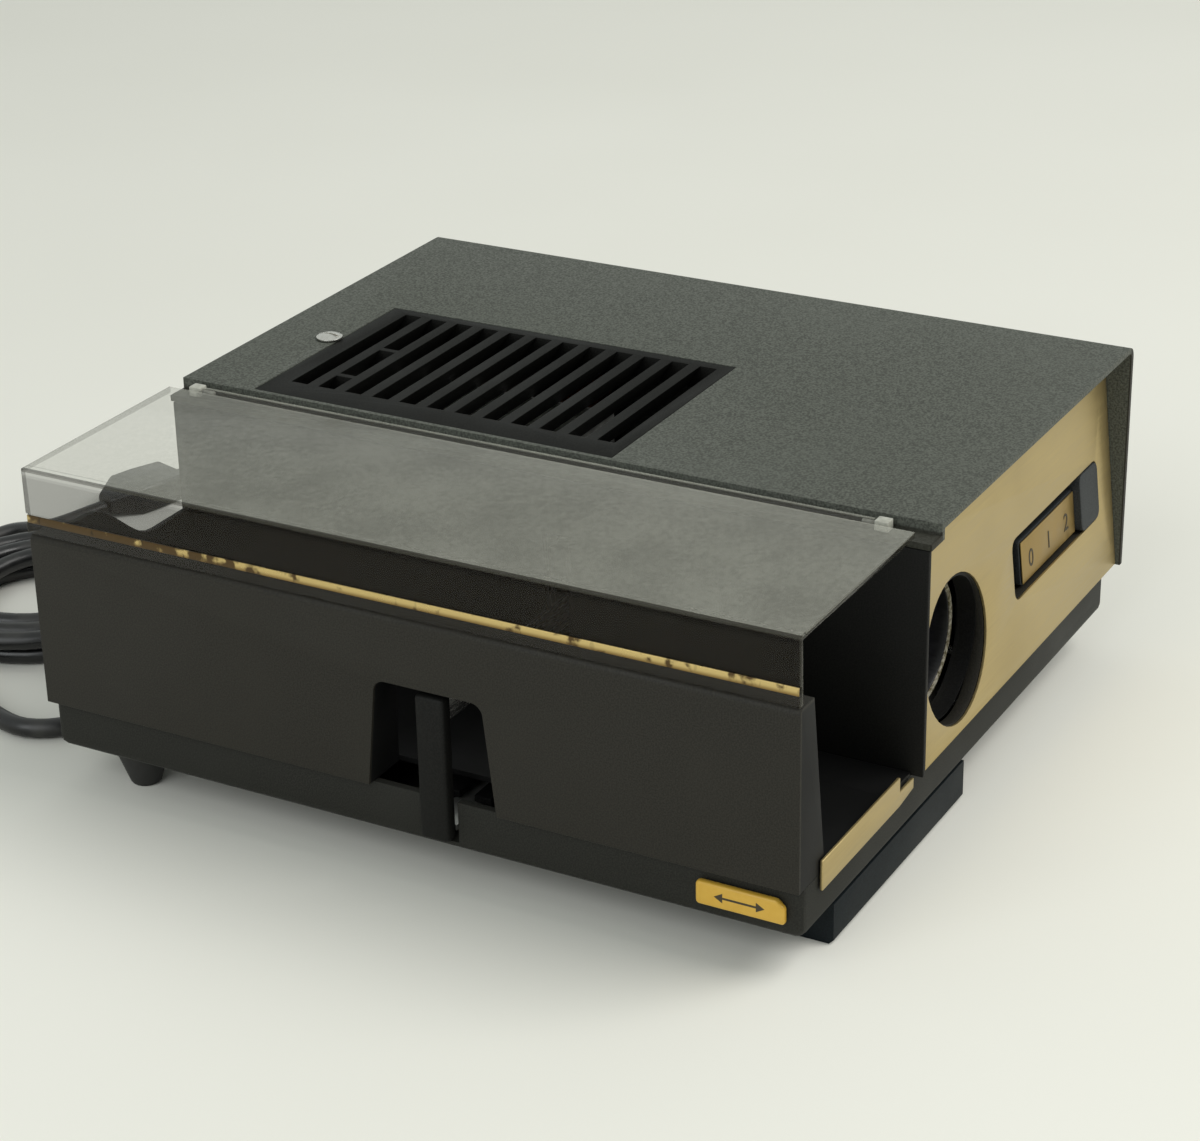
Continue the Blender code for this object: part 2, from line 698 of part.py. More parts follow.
def make_tray_casing():
    """Wall and channel floor from one section, hollowed from below and notched.

    A shallow groove beside the housing leaves room for the rack under the tray,
    and one as deep across its rear is the seat of the end wall.
    """
    rim = X_NEAR + CASING_RIM_WIDTH
    right = X_WALL - SEAT_GAP
    corner = (X_NEAR + CASING_EDGE, Z_CASING_TOP - CASING_EDGE)
    section = ([(X_NEAR, Z_CASING)] + arc(corner, CASING_EDGE, 180, 90, 4)
               + [(rim, Z_CASING_TOP), (X_CHANNEL_FOOT, Z_CHANNEL), (right, Z_CHANNEL),
                  (right, Z_CASING)])
    casing = prism([section], "XZ", Y_CASING_FRONT, Y_CASING_REAR)
    soften_ends = CASING_EDGE / 2
    soften(casing, soften_ends, 1, math.radians(60))

    notch_low, notch_high = Y_GATE - NOTCH_BOTTOM_WIDTH / 2, Y_GATE + NOTCH_BOTTOM_WIDTH / 2
    hollow = [(X_NEAR + CASING_SKIN, Z_CASING - CUT_OVERRUN),
              (X_NEAR + CASING_SKIN, Z_CASING_TOP - CASING_SKIN),
              (rim - CASING_SKIN, Z_CASING_TOP - CASING_SKIN),
              (X_CHANNEL_FOOT - CASING_SKIN, Z_CASING - CUT_OVERRUN)]
    for low, high in ((Y_CASING_FRONT + CASING_SKIN, notch_low - CASING_SKIN),
                      (notch_high + CASING_SKIN, Y_CASING_REAR - CASING_SKIN)):
        combine(casing, prism([hollow], "XZ", low, high))
    combine(casing, finger_notch())
    cut_block(casing,
              (X_WALL - RACK_GROOVE_WIDTH, Y_CASING_FRONT - CUT_OVERRUN, Z_SEAT),
              (X_WALL + CUT_OVERRUN, Y_CASING_REAR + CUT_OVERRUN, Z_CHANNEL + CUT_OVERRUN))
    rear = Y_REAR - END_WALL_INSET
    cut_block(casing,
              (X_CHANNEL_FOOT + SEAT_GAP, rear - END_WALL_THICKNESS - SEAT_GAP, Z_SEAT),
              (X_WALL + CUT_OVERRUN, Y_CASING_REAR + CUT_OVERRUN, Z_CHANNEL + CUT_OVERRUN))

    half = CHANGER_SLOT_WIDTH / 2
    finger_reach = X_FINGER - CHANGER_STROKE - RUN_GAP
    cut_block(casing, (finger_reach, Y_GATE - half, Z_CASING - CUT_OVERRUN),
              (X_WALL + CUT_OVERRUN, Y_GATE + half, Z_CHANNEL + CUT_OVERRUN))
    side = GEAR_WIDTH / 2 + RUN_GAP
    reach = math.sqrt(GEAR_RADIUS ** 2 - (Z_CASING - Z_GEAR) ** 2) + RUN_GAP
    cut_block(casing, (X_GEAR - side, Y_GEAR - reach, Z_CASING - CUT_OVERRUN),
              (X_GEAR + side, Y_GEAR + reach, Z_CHANNEL + CUT_OVERRUN))
    return finish(casing, "tray_casing", dark_plastic())


def finger_notch():
    """Trapezoid cutter with round upper corners, for the grip of the changer."""
    low = Z_CASING - CUT_OVERRUN
    top = Z_CASING + NOTCH_HEIGHT
    half_top = NOTCH_TOP_WIDTH / 2
    half_low = NOTCH_BOTTOM_WIDTH / 2
    lean = math.degrees(math.atan2(half_low - half_top, NOTCH_HEIGHT))
    centre_z = top - NOTCH_CORNER
    outline = ([(Y_GATE - half_low, low), (Y_GATE + half_low, low)]
               + arc((Y_GATE + half_top - NOTCH_CORNER, centre_z), NOTCH_CORNER, lean, 90)
               + arc((Y_GATE - half_top + NOTCH_CORNER, centre_z), NOTCH_CORNER,
                     90, 180 - lean))
    return prism([outline], "YZ", X_NEAR - CUT_OVERRUN, X_CHANNEL_FOOT + RUN_GAP)


# Channel end wall: closes the rear of the tray channel, with a wavy upper edge

END_WALL_THICKNESS = 0.0025
END_WALL_INSET = 0.0050
END_WALL_PLATEAU_DROP = 0.0228
END_WALL_DIP_DROP = 0.0410
END_WALL_WAVE_START = 0.0560
END_WALL_WAVE_END = 0.0230
WAVE_STEPS = 10


def make_channel_end_wall():
    near_low = X_CHANNEL_FOOT + 2 * SEAT_GAP
    near_top = X_NEAR + CASING_RIM_WIDTH + SEAT_GAP
    right = X_WALL - SEAT_GAP
    low = Z_SEAT + SEAT_GAP
    plateau = Z_TOP - END_WALL_PLATEAU_DROP
    dip = Z_TOP - END_WALL_DIP_DROP
    wave = []
    for index in range(WAVE_STEPS + 1):
        share = index / WAVE_STEPS
        x = X_WALL - END_WALL_WAVE_START + share * (END_WALL_WAVE_START - END_WALL_WAVE_END)
        fall = (1 - math.cos(math.pi * share)) / 2
        wave.append((x, plateau - fall * (plateau - dip)))
    outline = [(near_low, low), (near_top, plateau)] + wave + [(right, dip), (right, low)]
    rear = Y_REAR - END_WALL_INSET
    wall = prism([outline], "XZ", rear - END_WALL_THICKNESS, rear)
    return finish(wall, "channel_end_wall", dark_plastic())


# Channel wall: the dark side of the housing along the tray, slotted for the slide

WALL_FRONT_INSET = 0.0008
SLIDE_SLOT_WIDTH = 0.0090
SLIDE_SLOT_MARGIN = 0.0019
LEDGE_DROP = 0.0036
LEDGE_WIDTH = 0.0075
COVER_THICKNESS = 0.0020


def make_channel_wall():
    """Flat moulded wall with a tall slot, a little wider than the mouth of the gate."""
    top = Z_TOP - LEDGE_DROP - COVER_THICKNESS - SEAT_GAP
    front = Y_FRONT + WALL_FRONT_INSET
    outline = [(front, Z_CASING), (Y_REAR - WALL_FRONT_INSET, Z_CASING),
               (Y_REAR - WALL_FRONT_INSET, top), (front, top)]
    wall = prism([outline], "YZ", X_WALL, X_WALL + CHANNEL_WALL_THICKNESS)
    half = SLIDE_SLOT_WIDTH / 2
    cut_block(wall, (X_WALL - CUT_OVERRUN, Y_GATE - half, Z_CASING - CUT_OVERRUN),
              (X_INSIDE + CUT_OVERRUN, Y_GATE + half,
               Z_LENS + SLIDE_SIZE / 2 + SLIDE_SLOT_MARGIN))
    return finish(wall, "channel_wall", dark_plastic())


# Channel front plate: gold lip that keeps the tray in

LIP_NEAR = 0.0130
LIP_STEP_FROM_WALL = 0.0105
LIP_ABOVE_DECK = 0.0050
LIP_BELOW_DECK = 0.0048
LIP_TAIL_BELOW_DECK = 0.0035
LIP_THICKNESS = 0.0010


def make_channel_front_plate():
    """Flat gold lip across the channel mouth, with a thin tail to the housing."""
    near = X_NEAR + LIP_NEAR
    step = X_WALL - LIP_STEP_FROM_WALL
    end = X_WALL - SEAT_GAP
    low, high = Z_DECK - LIP_BELOW_DECK, Z_DECK + LIP_ABOVE_DECK
    outline = [(near, low), (step, low), (end, Z_DECK - LIP_TAIL_BELOW_DECK), (end, Z_DECK),
               (step, Z_DECK), (step, high), (near, high)]
    back = Y_CASING_FRONT - SEAT_GAP
    plate = prism([outline], "XZ", back - LIP_THICKNESS, back)
    return finish(plate, "channel_front_plate", gold_sheet())


# Top cover: painted sheet over the top and down the far side

COVER_CORNER = 0.0040
COVER_ARC_STEPS = 5
COVER_BOTTOM = Z_DECK + 2 * SEAT_GAP

GRILLE_FROM_WALL = 0.0092
GRILLE_WIDTH = 0.0860
GRILLE_FROM_REAR = 0.0270
GRILLE_LENGTH = 0.1330
GRILLE_FLANGE = 0.0011
GRILLE_RECESS = 0.0015
GRILLE_DEPTH = 0.0080
SLOT_PITCH = 0.0104
SLOT_WIDTH = 0.0062
SLOT_NEAR_INSET = 0.0113
SLOT_FAR_INSET = 0.0042
FIRST_SLOT_INSET = 0.0082
SLOT_SLANT = 0.0050
GRILLE_BODY_MARGIN = 0.0018
BRIDGE_WIDTH = 0.0022
NEAR_BRIDGE_INSET = 0.0120
FAR_BRIDGE_INSET = 0.0383

X_GRILLE = X_WALL + GRILLE_FROM_WALL
Y_GRILLE = Y_REAR - GRILLE_FROM_REAR - GRILLE_LENGTH
X_SLOT = X_GRILLE + SLOT_NEAR_INSET
SLOT_LENGTH = GRILLE_WIDTH - SLOT_NEAR_INSET - SLOT_FAR_INSET
Y_FIRST_SLOT = Y_GRILLE + FIRST_SLOT_INSET
LAST_SLOT_INSET = SLOT_WIDTH / 2 + SLOT_SLANT + GRILLE_BODY_MARGIN
SLOT_COUNT = 1 + int((GRILLE_LENGTH - FIRST_SLOT_INSET - LAST_SLOT_INSET) / SLOT_PITCH)
BRIDGE_SLOT = SLOT_COUNT - 2

GRILLE_SCREW_FROM_WALL = 0.0595
GRILLE_SCREW_BEHIND = 0.0036
GRILLE_SCREW_HEAD = 0.0045
GRILLE_SCREW_SHANK = 0.0018
GRILLE_SCREW_HOLE = 0.0021
GRILLE_SCREW_LENGTH = 0.0080
GRILLE_SCREW_DOME = 0.0016
SCREWDRIVER_SLOT_WIDTH = 0.0011
SCREWDRIVER_SLOT_DEPTH = 0.0009
DOME_SHOULDER_SHARE = 0.88
X_GRILLE_SCREW = X_WALL + GRILLE_SCREW_FROM_WALL
Y_GRILLE_SCREW = Y_GRILLE + GRILLE_LENGTH + GRILLE_SCREW_BEHIND


def grille_body_box(margin):
    """Corners, in plan, of the grille's louvred body, grown by a margin."""
    grow = GRILLE_BODY_MARGIN + margin
    low = (X_SLOT - grow, Y_FIRST_SLOT - SLOT_WIDTH / 2 - grow)
    last = Y_FIRST_SLOT + SLOT_PITCH * (SLOT_COUNT - 1)
    high = (X_SLOT + SLOT_LENGTH + grow, last + SLOT_WIDTH / 2 + SLOT_SLANT + grow)
    return low, high


def make_top_cover():
    """One bent sheet: hinge ledge, top and far side, with the grille's opening."""
    inner = COVER_CORNER - COVER_THICKNESS
    centre = (X_FAR - COVER_CORNER, Z_TOP - COVER_CORNER)
    ledge = Z_TOP - LEDGE_DROP
    step = X_WALL + LEDGE_WIDTH
    outline = ([(X_WALL, ledge - COVER_THICKNESS), (X_WALL, ledge), (step, ledge),
                (step, Z_TOP)]
               + arc(centre, COVER_CORNER, 90, 0, COVER_ARC_STEPS)
               + [(X_FAR, COVER_BOTTOM), (X_FAR - COVER_THICKNESS, COVER_BOTTOM)]
               + arc(centre, inner, 0, 90)
               + [(step + COVER_THICKNESS, Z_TOP - COVER_THICKNESS),
                  (step + COVER_THICKNESS, ledge - COVER_THICKNESS)])
    cover = prism([outline], "XZ", Y_FRONT, Y_REAR)
    cut_block(cover, (X_GRILLE, Y_GRILLE, Z_TOP - GRILLE_RECESS),
              (X_GRILLE + GRILLE_WIDTH, Y_GRILLE + GRILLE_LENGTH, Z_TOP + CUT_OVERRUN))
    low, high = grille_body_box(SEAT_GAP)
    cut_block(cover, (*low, Z_TOP - COVER_THICKNESS - CUT_OVERRUN),
              (*high, Z_TOP + 2 * CUT_OVERRUN))
    cut_rod(cover, GRILLE_SCREW_HOLE,
            (X_GRILLE_SCREW, Y_GRILLE_SCREW, Z_TOP - COVER_THICKNESS - CUT_OVERRUN),
            (X_GRILLE_SCREW, Y_GRILLE_SCREW, Z_TOP + CUT_OVERRUN))
    return finish(cover, "top_cover", grey_paint())


# Vent grille: louvred lamp cover, let into the top cover

def make_vent_grille():
    """Flange and deep body, cut by slanted slots that leave the louvre blades."""
    top = Z_TOP - GRILLE_RECESS + SEAT_GAP + GRILLE_FLANGE
    under = top - GRILLE_FLANGE
    grille = block((X_GRILLE + SEAT_GAP, Y_GRILLE + SEAT_GAP, under),
                   (X_GRILLE + GRILLE_WIDTH - SEAT_GAP,
                    Y_GRILLE + GRILLE_LENGTH - SEAT_GAP, top))
    low, high = grille_body_box(0)
    bottom = top - GRILLE_DEPTH
    join(grille, block((*low, bottom), (*high, top - GRILLE_FLANGE / 2)))
    combine(grille, louvre_slots(bottom, top))
    return finish(grille, "vent_grille", black_plastic())


def louvre_slots(bottom, top):
    """All the slanted slots as one cutter; the last but one is broken by two bridges."""
    slots = []
    drop = top - bottom
    rise = SLOT_SLANT * CUT_OVERRUN / drop
    for index in range(SLOT_COUNT):
        y = Y_FIRST_SLOT + index * SLOT_PITCH - SLOT_WIDTH / 2
        outline = [(y - rise, top + CUT_OVERRUN), (y + SLOT_SLANT + rise, bottom - CUT_OVERRUN),
                   (y + SLOT_SLANT + rise + SLOT_WIDTH, bottom - CUT_OVERRUN),
                   (y - rise + SLOT_WIDTH, top + CUT_OVERRUN)]
        stops = [X_SLOT]
        if index == BRIDGE_SLOT:
            for inset in (NEAR_BRIDGE_INSET, FAR_BRIDGE_INSET):
                stops += [X_SLOT + inset - BRIDGE_WIDTH / 2,
                          X_SLOT + inset + BRIDGE_WIDTH / 2]
        stops.append(X_SLOT + SLOT_LENGTH)
        for start, end in zip(stops[::2], stops[1::2]):
            slots.append(apply_all(prism([outline], "YZ", start, end)))
    return gather(slots)


def make_grille_screw():
    """Large slotted screw whose head holds the grille's rear edge down."""
    head_bottom = Z_TOP + SEAT_GAP
    dome = GRILLE_SCREW_DOME
    rim = dome / 3
    shoulder = dome * DOME_SHOULDER_SHARE
    profile = [(0, dome), (GRILLE_SCREW_HEAD / 2, shoulder), (GRILLE_SCREW_HEAD, rim),
               (GRILLE_SCREW_HEAD, 0), (GRILLE_SCREW_SHANK, 0),
               (GRILLE_SCREW_SHANK, -GRILLE_SCREW_LENGTH), (0, -GRILLE_SCREW_LENGTH)]
    screw = turned(profile, "Z", (X_GRILLE_SCREW, Y_GRILLE_SCREW, head_bottom), 24)
    half = SCREWDRIVER_SLOT_WIDTH / 2
    cut_block(screw, (X_GRILLE_SCREW - half, Y_GRILLE_SCREW - 2 * GRILLE_SCREW_HEAD,
                      head_bottom + dome - SCREWDRIVER_SLOT_DEPTH),
              (X_GRILLE_SCREW + half, Y_GRILLE_SCREW + 2 * GRILLE_SCREW_HEAD,
               head_bottom + dome + CUT_OVERRUN))
    return finish(screw, "grille_screw", bright_steel())


# Rear panel: moulded plate with exhaust slots

REAR_PANEL_THICKNESS = 0.0020
REAR_PANEL_INSET = 0.0004
EXHAUST_COUNT = 9
EXHAUST_PITCH = 0.0080
EXHAUST_WIDTH = 0.0035
EXHAUST_HEIGHT = 0.0300
EXHAUST_FROM_WALL = 0.0260
EXHAUST_CENTRE_DROP = 0.0390


def under_cover(low, under_ledge, under_top):
    """Outline that fills the end of the housing under the cover's section."""
    low_x, high_x = X_INSIDE, X_FAR - COVER_THICKNESS - SEAT_GAP
    step = X_WALL + LEDGE_WIDTH + COVER_THICKNESS + SEAT_GAP
    corner = COVER_CORNER / 2
    return [(low_x, low), (high_x, low), (high_x, under_top - corner),
            (high_x - corner, under_top), (step, under_top), (step, under_ledge),
            (low_x, under_ledge)]


def make_rear_panel():
    under_top = Z_TOP - COVER_THICKNESS - SEAT_GAP
    loops = [under_cover(Z_CASING, under_top - LEDGE_DROP, under_top)]
    middle = Z_TOP - EXHAUST_CENTRE_DROP
    for index in range(EXHAUST_COUNT):
        x = X_WALL + EXHAUST_FROM_WALL + index * EXHAUST_PITCH
        loops.append(rounded_box(
            (x - EXHAUST_WIDTH / 2, middle - EXHAUST_HEIGHT / 2),
            (x + EXHAUST_WIDTH / 2, middle + EXHAUST_HEIGHT / 2),
            EXHAUST_WIDTH / 2, 3))
    back = Y_REAR - REAR_PANEL_INSET
    panel = prism(loops, "XZ", back - REAR_PANEL_THICKNESS, back)
    return finish(panel, "rear_panel", dark_plastic())


# Front panel group: leans back towards its top, so it is built upright and turned

PANEL_BOTTOM_INSET = 0.0015
PANEL_TOP_INSET = 0.0095
PANEL_THICKNESS = 0.0008
PANEL_ABOVE_DECK = 0.0011
Z_PANEL = Z_DECK + PANEL_ABOVE_DECK
PANEL_RISE = Z_TOP - COVER_THICKNESS - 2 * SEAT_GAP - Z_PANEL
PANEL_LEAN = math.atan2(PANEL_TOP_INSET - PANEL_BOTTOM_INSET, PANEL_RISE)
PANEL_HEIGHT = PANEL_RISE / math.cos(PANEL_LEAN)
LENS_HOLE = 0.0238
BACKING_THICKNESS = 0.0040
BACKING_LENS_HOLE = 0.0234
BACKING_FRONT = PANEL_THICKNESS + SEAT_GAP
BACKING_BACK = BACKING_FRONT + BACKING_THICKNESS

SWITCH_FROM_WALL = 0.0800
SWITCH_WIDTH = 0.0760
SWITCH_LOW = 0.0224
SWITCH_TALL = 0.0210
SWITCH_CORNER = 0.0035
SWITCH_TRAVEL = 0.0070
KNOB_WIDTH = 0.0165
SLIDER_THICKNESS = 0.0022
LEGEND_WIDTH = 0.0478
LEGEND_TALL = 0.0152
LEGEND_LOW = 0.0008
LEGEND_CORNER = 0.0012
LEGEND_THICKNESS = 0.0004
KNOB_PROUD = 0.0004
KNOB_GAP = 0.0005
KNOB_EDGE = 0.0005
STEM_WIDTH = 0.0060
STEM_TALL = 0.0024
STEM_REACH = 0.0060
HOUSING_DEPTH = 0.0120
HOUSING_MARGIN = 0.0030

X_SWITCH = X_WALL + SWITCH_FROM_WALL
X_SWITCH_END = X_SWITCH + SWITCH_WIDTH
LENS_UP_PANEL = (Z_LENS - Z_PANEL) / math.cos(PANEL_LEAN)


def panel_outline():
    return under_cover(0, PANEL_HEIGHT - LEDGE_DROP, PANEL_HEIGHT)


def switch_opening():
    return rounded_box((X_SWITCH, SWITCH_LOW), (X_SWITCH_END, SWITCH_LOW + SWITCH_TALL),
                       SWITCH_CORNER)


def lean_frame():
    """Empty at the foot of the front panel, leaning back with it."""
    return empty("front_lean", (0, Y_FRONT + PANEL_BOTTOM_INSET, Z_PANEL),
                 (-PANEL_LEAN, 0, 0))


def stand_in_front(frame, *pieces):
    """Take pieces built upright at the origin onto the leaning frame."""
    for piece in pieces:
        piece.parent = frame


def make_front_panel():
    loops = [panel_outline(), circle((X_LENS, LENS_UP_PANEL), LENS_HOLE), switch_opening()]
    panel = prism(loops, "XZ", 0, PANEL_THICKNESS)
    return finish(panel, "front_panel", gold_sheet())


def make_front_backing():
    """Thick dark moulding right behind the gold sheet, with the same openings."""
    loops = [panel_outline(), circle((X_LENS, LENS_UP_PANEL), BACKING_LENS_HOLE),
             switch_opening()]
    backing = prism(loops, "XZ", BACKING_FRONT, BACKING_BACK)
    return finish(backing, "front_backing", dark_plastic())


def stem_place():
    """Middle of the slider's stem, across and up the panel, at rest."""
    slider_end = X_SWITCH_END - KNOB_GAP
    return (slider_end - (KNOB_WIDTH + LEGEND_WIDTH) / 2, SWITCH_LOW + SWITCH_TALL / 2)


def make_switch_housing():
    """Box behind the backing; its face is the floor of the switch recess."""
    front = BACKING_BACK + SEAT_GAP
    x, up = stem_place()
    housing = block((X_SWITCH - HOUSING_MARGIN, front, SWITCH_LOW - HOUSING_MARGIN),
                    (X_SWITCH_END + HOUSING_MARGIN, front + HOUSING_DEPTH,
                     SWITCH_LOW + SWITCH_TALL + HOUSING_MARGIN))
    soften(housing, KNOB_EDGE, 1)
    half = STEM_WIDTH / 2 + RUN_GAP
    cut_block(housing, (x - half - SWITCH_TRAVEL, front - CUT_OVERRUN, up - STEM_TALL),
              (x + half, front + STEM_REACH + RUN_GAP, up + STEM_TALL))
    return finish(apply_all(housing), "switch_housing", black_plastic())


def make_switch_slider():
    """Low plate and raised knob in one moulding, with a stem into the housing."""
    back = BACKING_BACK - KNOB_EDGE + SEAT_GAP
    end = X_SWITCH_END - KNOB_GAP
    knob_start = end - KNOB_WIDTH
    x, up = stem_place()
    knob = rounded_box((knob_start, SWITCH_LOW + KNOB_GAP),
                       (end, SWITCH_LOW + SWITCH_TALL - KNOB_GAP), SWITCH_CORNER - KNOB_GAP)
    slider = prism([knob], "XZ", -KNOB_PROUD, back)
    soften(slider, KNOB_EDGE / 2, 1)
    plate = rounded_box((knob_start - LEGEND_WIDTH, SWITCH_LOW + LEGEND_LOW),
                        (end - SWITCH_CORNER, SWITCH_LOW + LEGEND_LOW + LEGEND_TALL),
                        LEGEND_CORNER)
    join(slider, prism([plate], "XZ", back - SLIDER_THICKNESS, back - RUN_GAP / 2))
    join(slider, block((x - STEM_WIDTH / 2, back - SLIDER_THICKNESS / 2, up - STEM_TALL / 2),
                       (x + STEM_WIDTH / 2, BACKING_BACK + STEM_REACH, up + STEM_TALL / 2)))
    return finish(apply_all(slider), "switch_slider", black_plastic())


def make_legend_plate():
    back = BACKING_BACK - KNOB_EDGE + SEAT_GAP - SLIDER_THICKNESS - SEAT_GAP
    end = X_SWITCH_END - KNOB_GAP - KNOB_WIDTH - SEAT_GAP
    plate = block((end - LEGEND_WIDTH + 2 * RUN_GAP, back - LEGEND_THICKNESS,
                   SWITCH_LOW + LEGEND_LOW + RUN_GAP),
                  (end, back, SWITCH_LOW + LEGEND_LOW + LEGEND_TALL - RUN_GAP))
    return finish(plate, "legend_plate", gold_sheet())


# Chassis plate: pressed steel floor of the housing

CHASSIS_FRONT_INSET = 0.0110
CHASSIS_REAR_INSET = 0.0032
CARRIAGE_LEG_WIDTH = 0.0080


def make_chassis_plate():
    """Flat plate, slotted for the changer finger, the focus leg and the air."""
    low_x, high_x = X_INSIDE, X_FAR - COVER_THICKNESS - SEAT_GAP
    low_y, high_y = Y_FRONT + CHASSIS_FRONT_INSET, Y_REAR - CHASSIS_REAR_INSET
    outline = [(low_x, low_y), (high_x, low_y), (high_x, high_y), (low_x, high_y)]
    holes = [circle(place, SCREW_HOLE, SMALL_ROUND_STEPS) for place in base_screw_places()]
    plate = prism([outline] + holes, "XY", Z_CHASSIS, Z_CHASSIS_TOP)
    low, high = Z_CHASSIS - CUT_OVERRUN, Z_CHASSIS_TOP + CUT_OVERRUN
    half = CHANGER_SLOT_WIDTH / 2
    cut_block(plate, (low_x - CUT_OVERRUN, Y_GATE - half, low),
              (X_ARM_END + RUN_GAP, Y_GATE + half, high))
    reach = FOCUS_ARM_WIDTH / 2 + FOCUS_TRAVEL + RUN_GAP
    cut_block(plate, (X_LENS - CARRIAGE_LEG_WIDTH / 2 - RUN_GAP, Y_FOCUS - reach, low),
              (X_LENS + CARRIAGE_LEG_WIDTH / 2 + RUN_GAP, Y_FOCUS + reach, high))
    combine(plate, vent_slots(low, high))
    return finish(plate, "chassis_plate", zinc_steel())


# Slide changer: handle, arm with its return finger, and pusher blade move as one

HANDLE_EDGE = 0.0012
BLADE_BELOW_LENS = 0.0056
BLADE_TALL = 0.0100
GUIDE_SIDE = 0.0030
GUIDE_LIP = 0.0022
GUIDE_START = 0.0195
GUIDE_LENGTH = 0.0470


def make_changer_handle():
    """Upright grip bar in the notch of the casing, flush with the wall."""
    handle = block((X_HANDLE, Y_GATE - HANDLE_WIDTH / 2, Z_HANDLE),
                   (X_HANDLE_BACK, Y_GATE + HANDLE_WIDTH / 2, Z_HANDLE_TOP))
    soften(handle, HANDLE_EDGE, 2)
    return finish(handle, "changer_handle", dark_plastic())


def make_changer_arm():
    """Flat steel strip under the channel floor and the gate, with its return finger.

    The upright finger at its end draws the slide back into the tray.
    """
    arm = block((X_HANDLE_BACK + SEAT_GAP, Y_GATE - HANDLE_WIDTH / 2 + SEAT_GAP, Z_ARM),
                (X_ARM_END, Y_GATE + HANDLE_WIDTH / 2 - SEAT_GAP, Z_ARM + ARM_THICKNESS))
    half = BLADE_THICKNESS / 2
    foot = Z_ARM + ARM_THICKNESS / 2
    end = X_ARM_END - RUN_GAP
    outline = [(X_FINGER, foot), (end, foot), (end, (foot + Z_FINGER_TOP) / 2),
               (X_FINGER + FINGER_LENGTH / 2, Z_FINGER_TOP), (X_FINGER, Z_FINGER_TOP)]
    join(arm, prism([outline], "XZ", Y_GATE - half, Y_GATE + half))
    return finish(arm, "changer_arm", zinc_steel())


def make_pusher_blade():
    """Thin blade at the height of the lens axis that pushes the slide's edge."""
    half = BLADE_THICKNESS / 2
    low = Z_LENS - BLADE_BELOW_LENS
    blade = block((X_HANDLE_BACK + SEAT_GAP, Y_GATE - half, low),
                  (X_SLIDE_NEAR - SEAT_GAP, Y_GATE + half, low + BLADE_TALL))
    return finish(blade, "pusher_blade", bright_steel())


def make_changer_guide():
    """C-shaped rail on the pan's floor that the changer arm slides through."""
    half = HANDLE_WIDTH / 2 + RUN_GAP
    low = Z_BASE_FLOOR + SEAT_GAP
    slot_low = Z_ARM - RUN_GAP
    slot_high = Z_ARM + ARM_THICKNESS + RUN_GAP
    top = slot_high + GUIDE_LIP
    outer = half + GUIDE_SIDE
    mouth = half - GUIDE_SIDE
    outline = [(Y_GATE - outer, low), (Y_GATE + outer, low), (Y_GATE + outer, top),
               (Y_GATE + mouth, top), (Y_GATE + mouth, slot_high), (Y_GATE + half, slot_high),
               (Y_GATE + half, slot_low), (Y_GATE - half, slot_low),
               (Y_GATE - half, slot_high), (Y_GATE - mouth, slot_high),
               (Y_GATE - mouth, top), (Y_GATE - outer, top)]
    start = X_NEAR + GUIDE_START
    guide = prism([outline], "YZ", start, start + GUIDE_LENGTH)
    return finish(guide, "changer_guide", black_plastic())


# Slide gate: frame that holds the slide square to the lens axis

GATE_PLATE = 0.0020
GATE_SLOT = 0.0044
GATE_APERTURE = 0.0360
GATE_SIDE = 0.0040
GATE_BARED = 0.0035
GATE_SLIDE_GAP = 0.0006


def make_slide_gate():
    """Two plates with a slide slot between them and a square light opening.

    The slide's upper edge stands out of the gate, where fingers can grip it.
    """
    depth = GATE_SLOT / 2 + GATE_PLATE
    low = Z_CHASSIS_TOP + SEAT_GAP
    slide_low = Z_LENS - SLIDE_SIZE / 2
    top = Z_LENS + SLIDE_SIZE / 2 - GATE_BARED
    gate = block((X_INSIDE, Y_GATE - depth, low),
                 (X_SLIDE_FAR + GATE_SIDE, Y_GATE + depth, top))
    cut_block(gate, (X_INSIDE - CUT_OVERRUN, Y_GATE - GATE_SLOT / 2,
                     slide_low - GATE_SLIDE_GAP / 2),
              (X_SLIDE_FAR + SEAT_GAP, Y_GATE + GATE_SLOT / 2, top + CUT_OVERRUN))
    half = CHANGER_SLOT_WIDTH / 2
    cut_block(gate, (X_INSIDE - CUT_OVERRUN, Y_GATE - half, low - CUT_OVERRUN),
              (X_SLIDE_FAR + GATE_SIDE + CUT_OVERRUN, Y_GATE + half, Z_FINGER_TOP + RUN_GAP))
    side = GATE_APERTURE / 2
    opening = prism([rounded_box((X_LENS - side, Z_LENS - side),
                                 (X_LENS + side, Z_LENS + side), GATE_PLATE)],
                    "XZ", Y_GATE - depth - CUT_OVERRUN, Y_GATE + depth + CUT_OVERRUN)
    combine(gate, opening)
    return finish(gate, "slide_gate", black_plastic())


# Lens: barrel with two elements in a carriage that slides on two rods

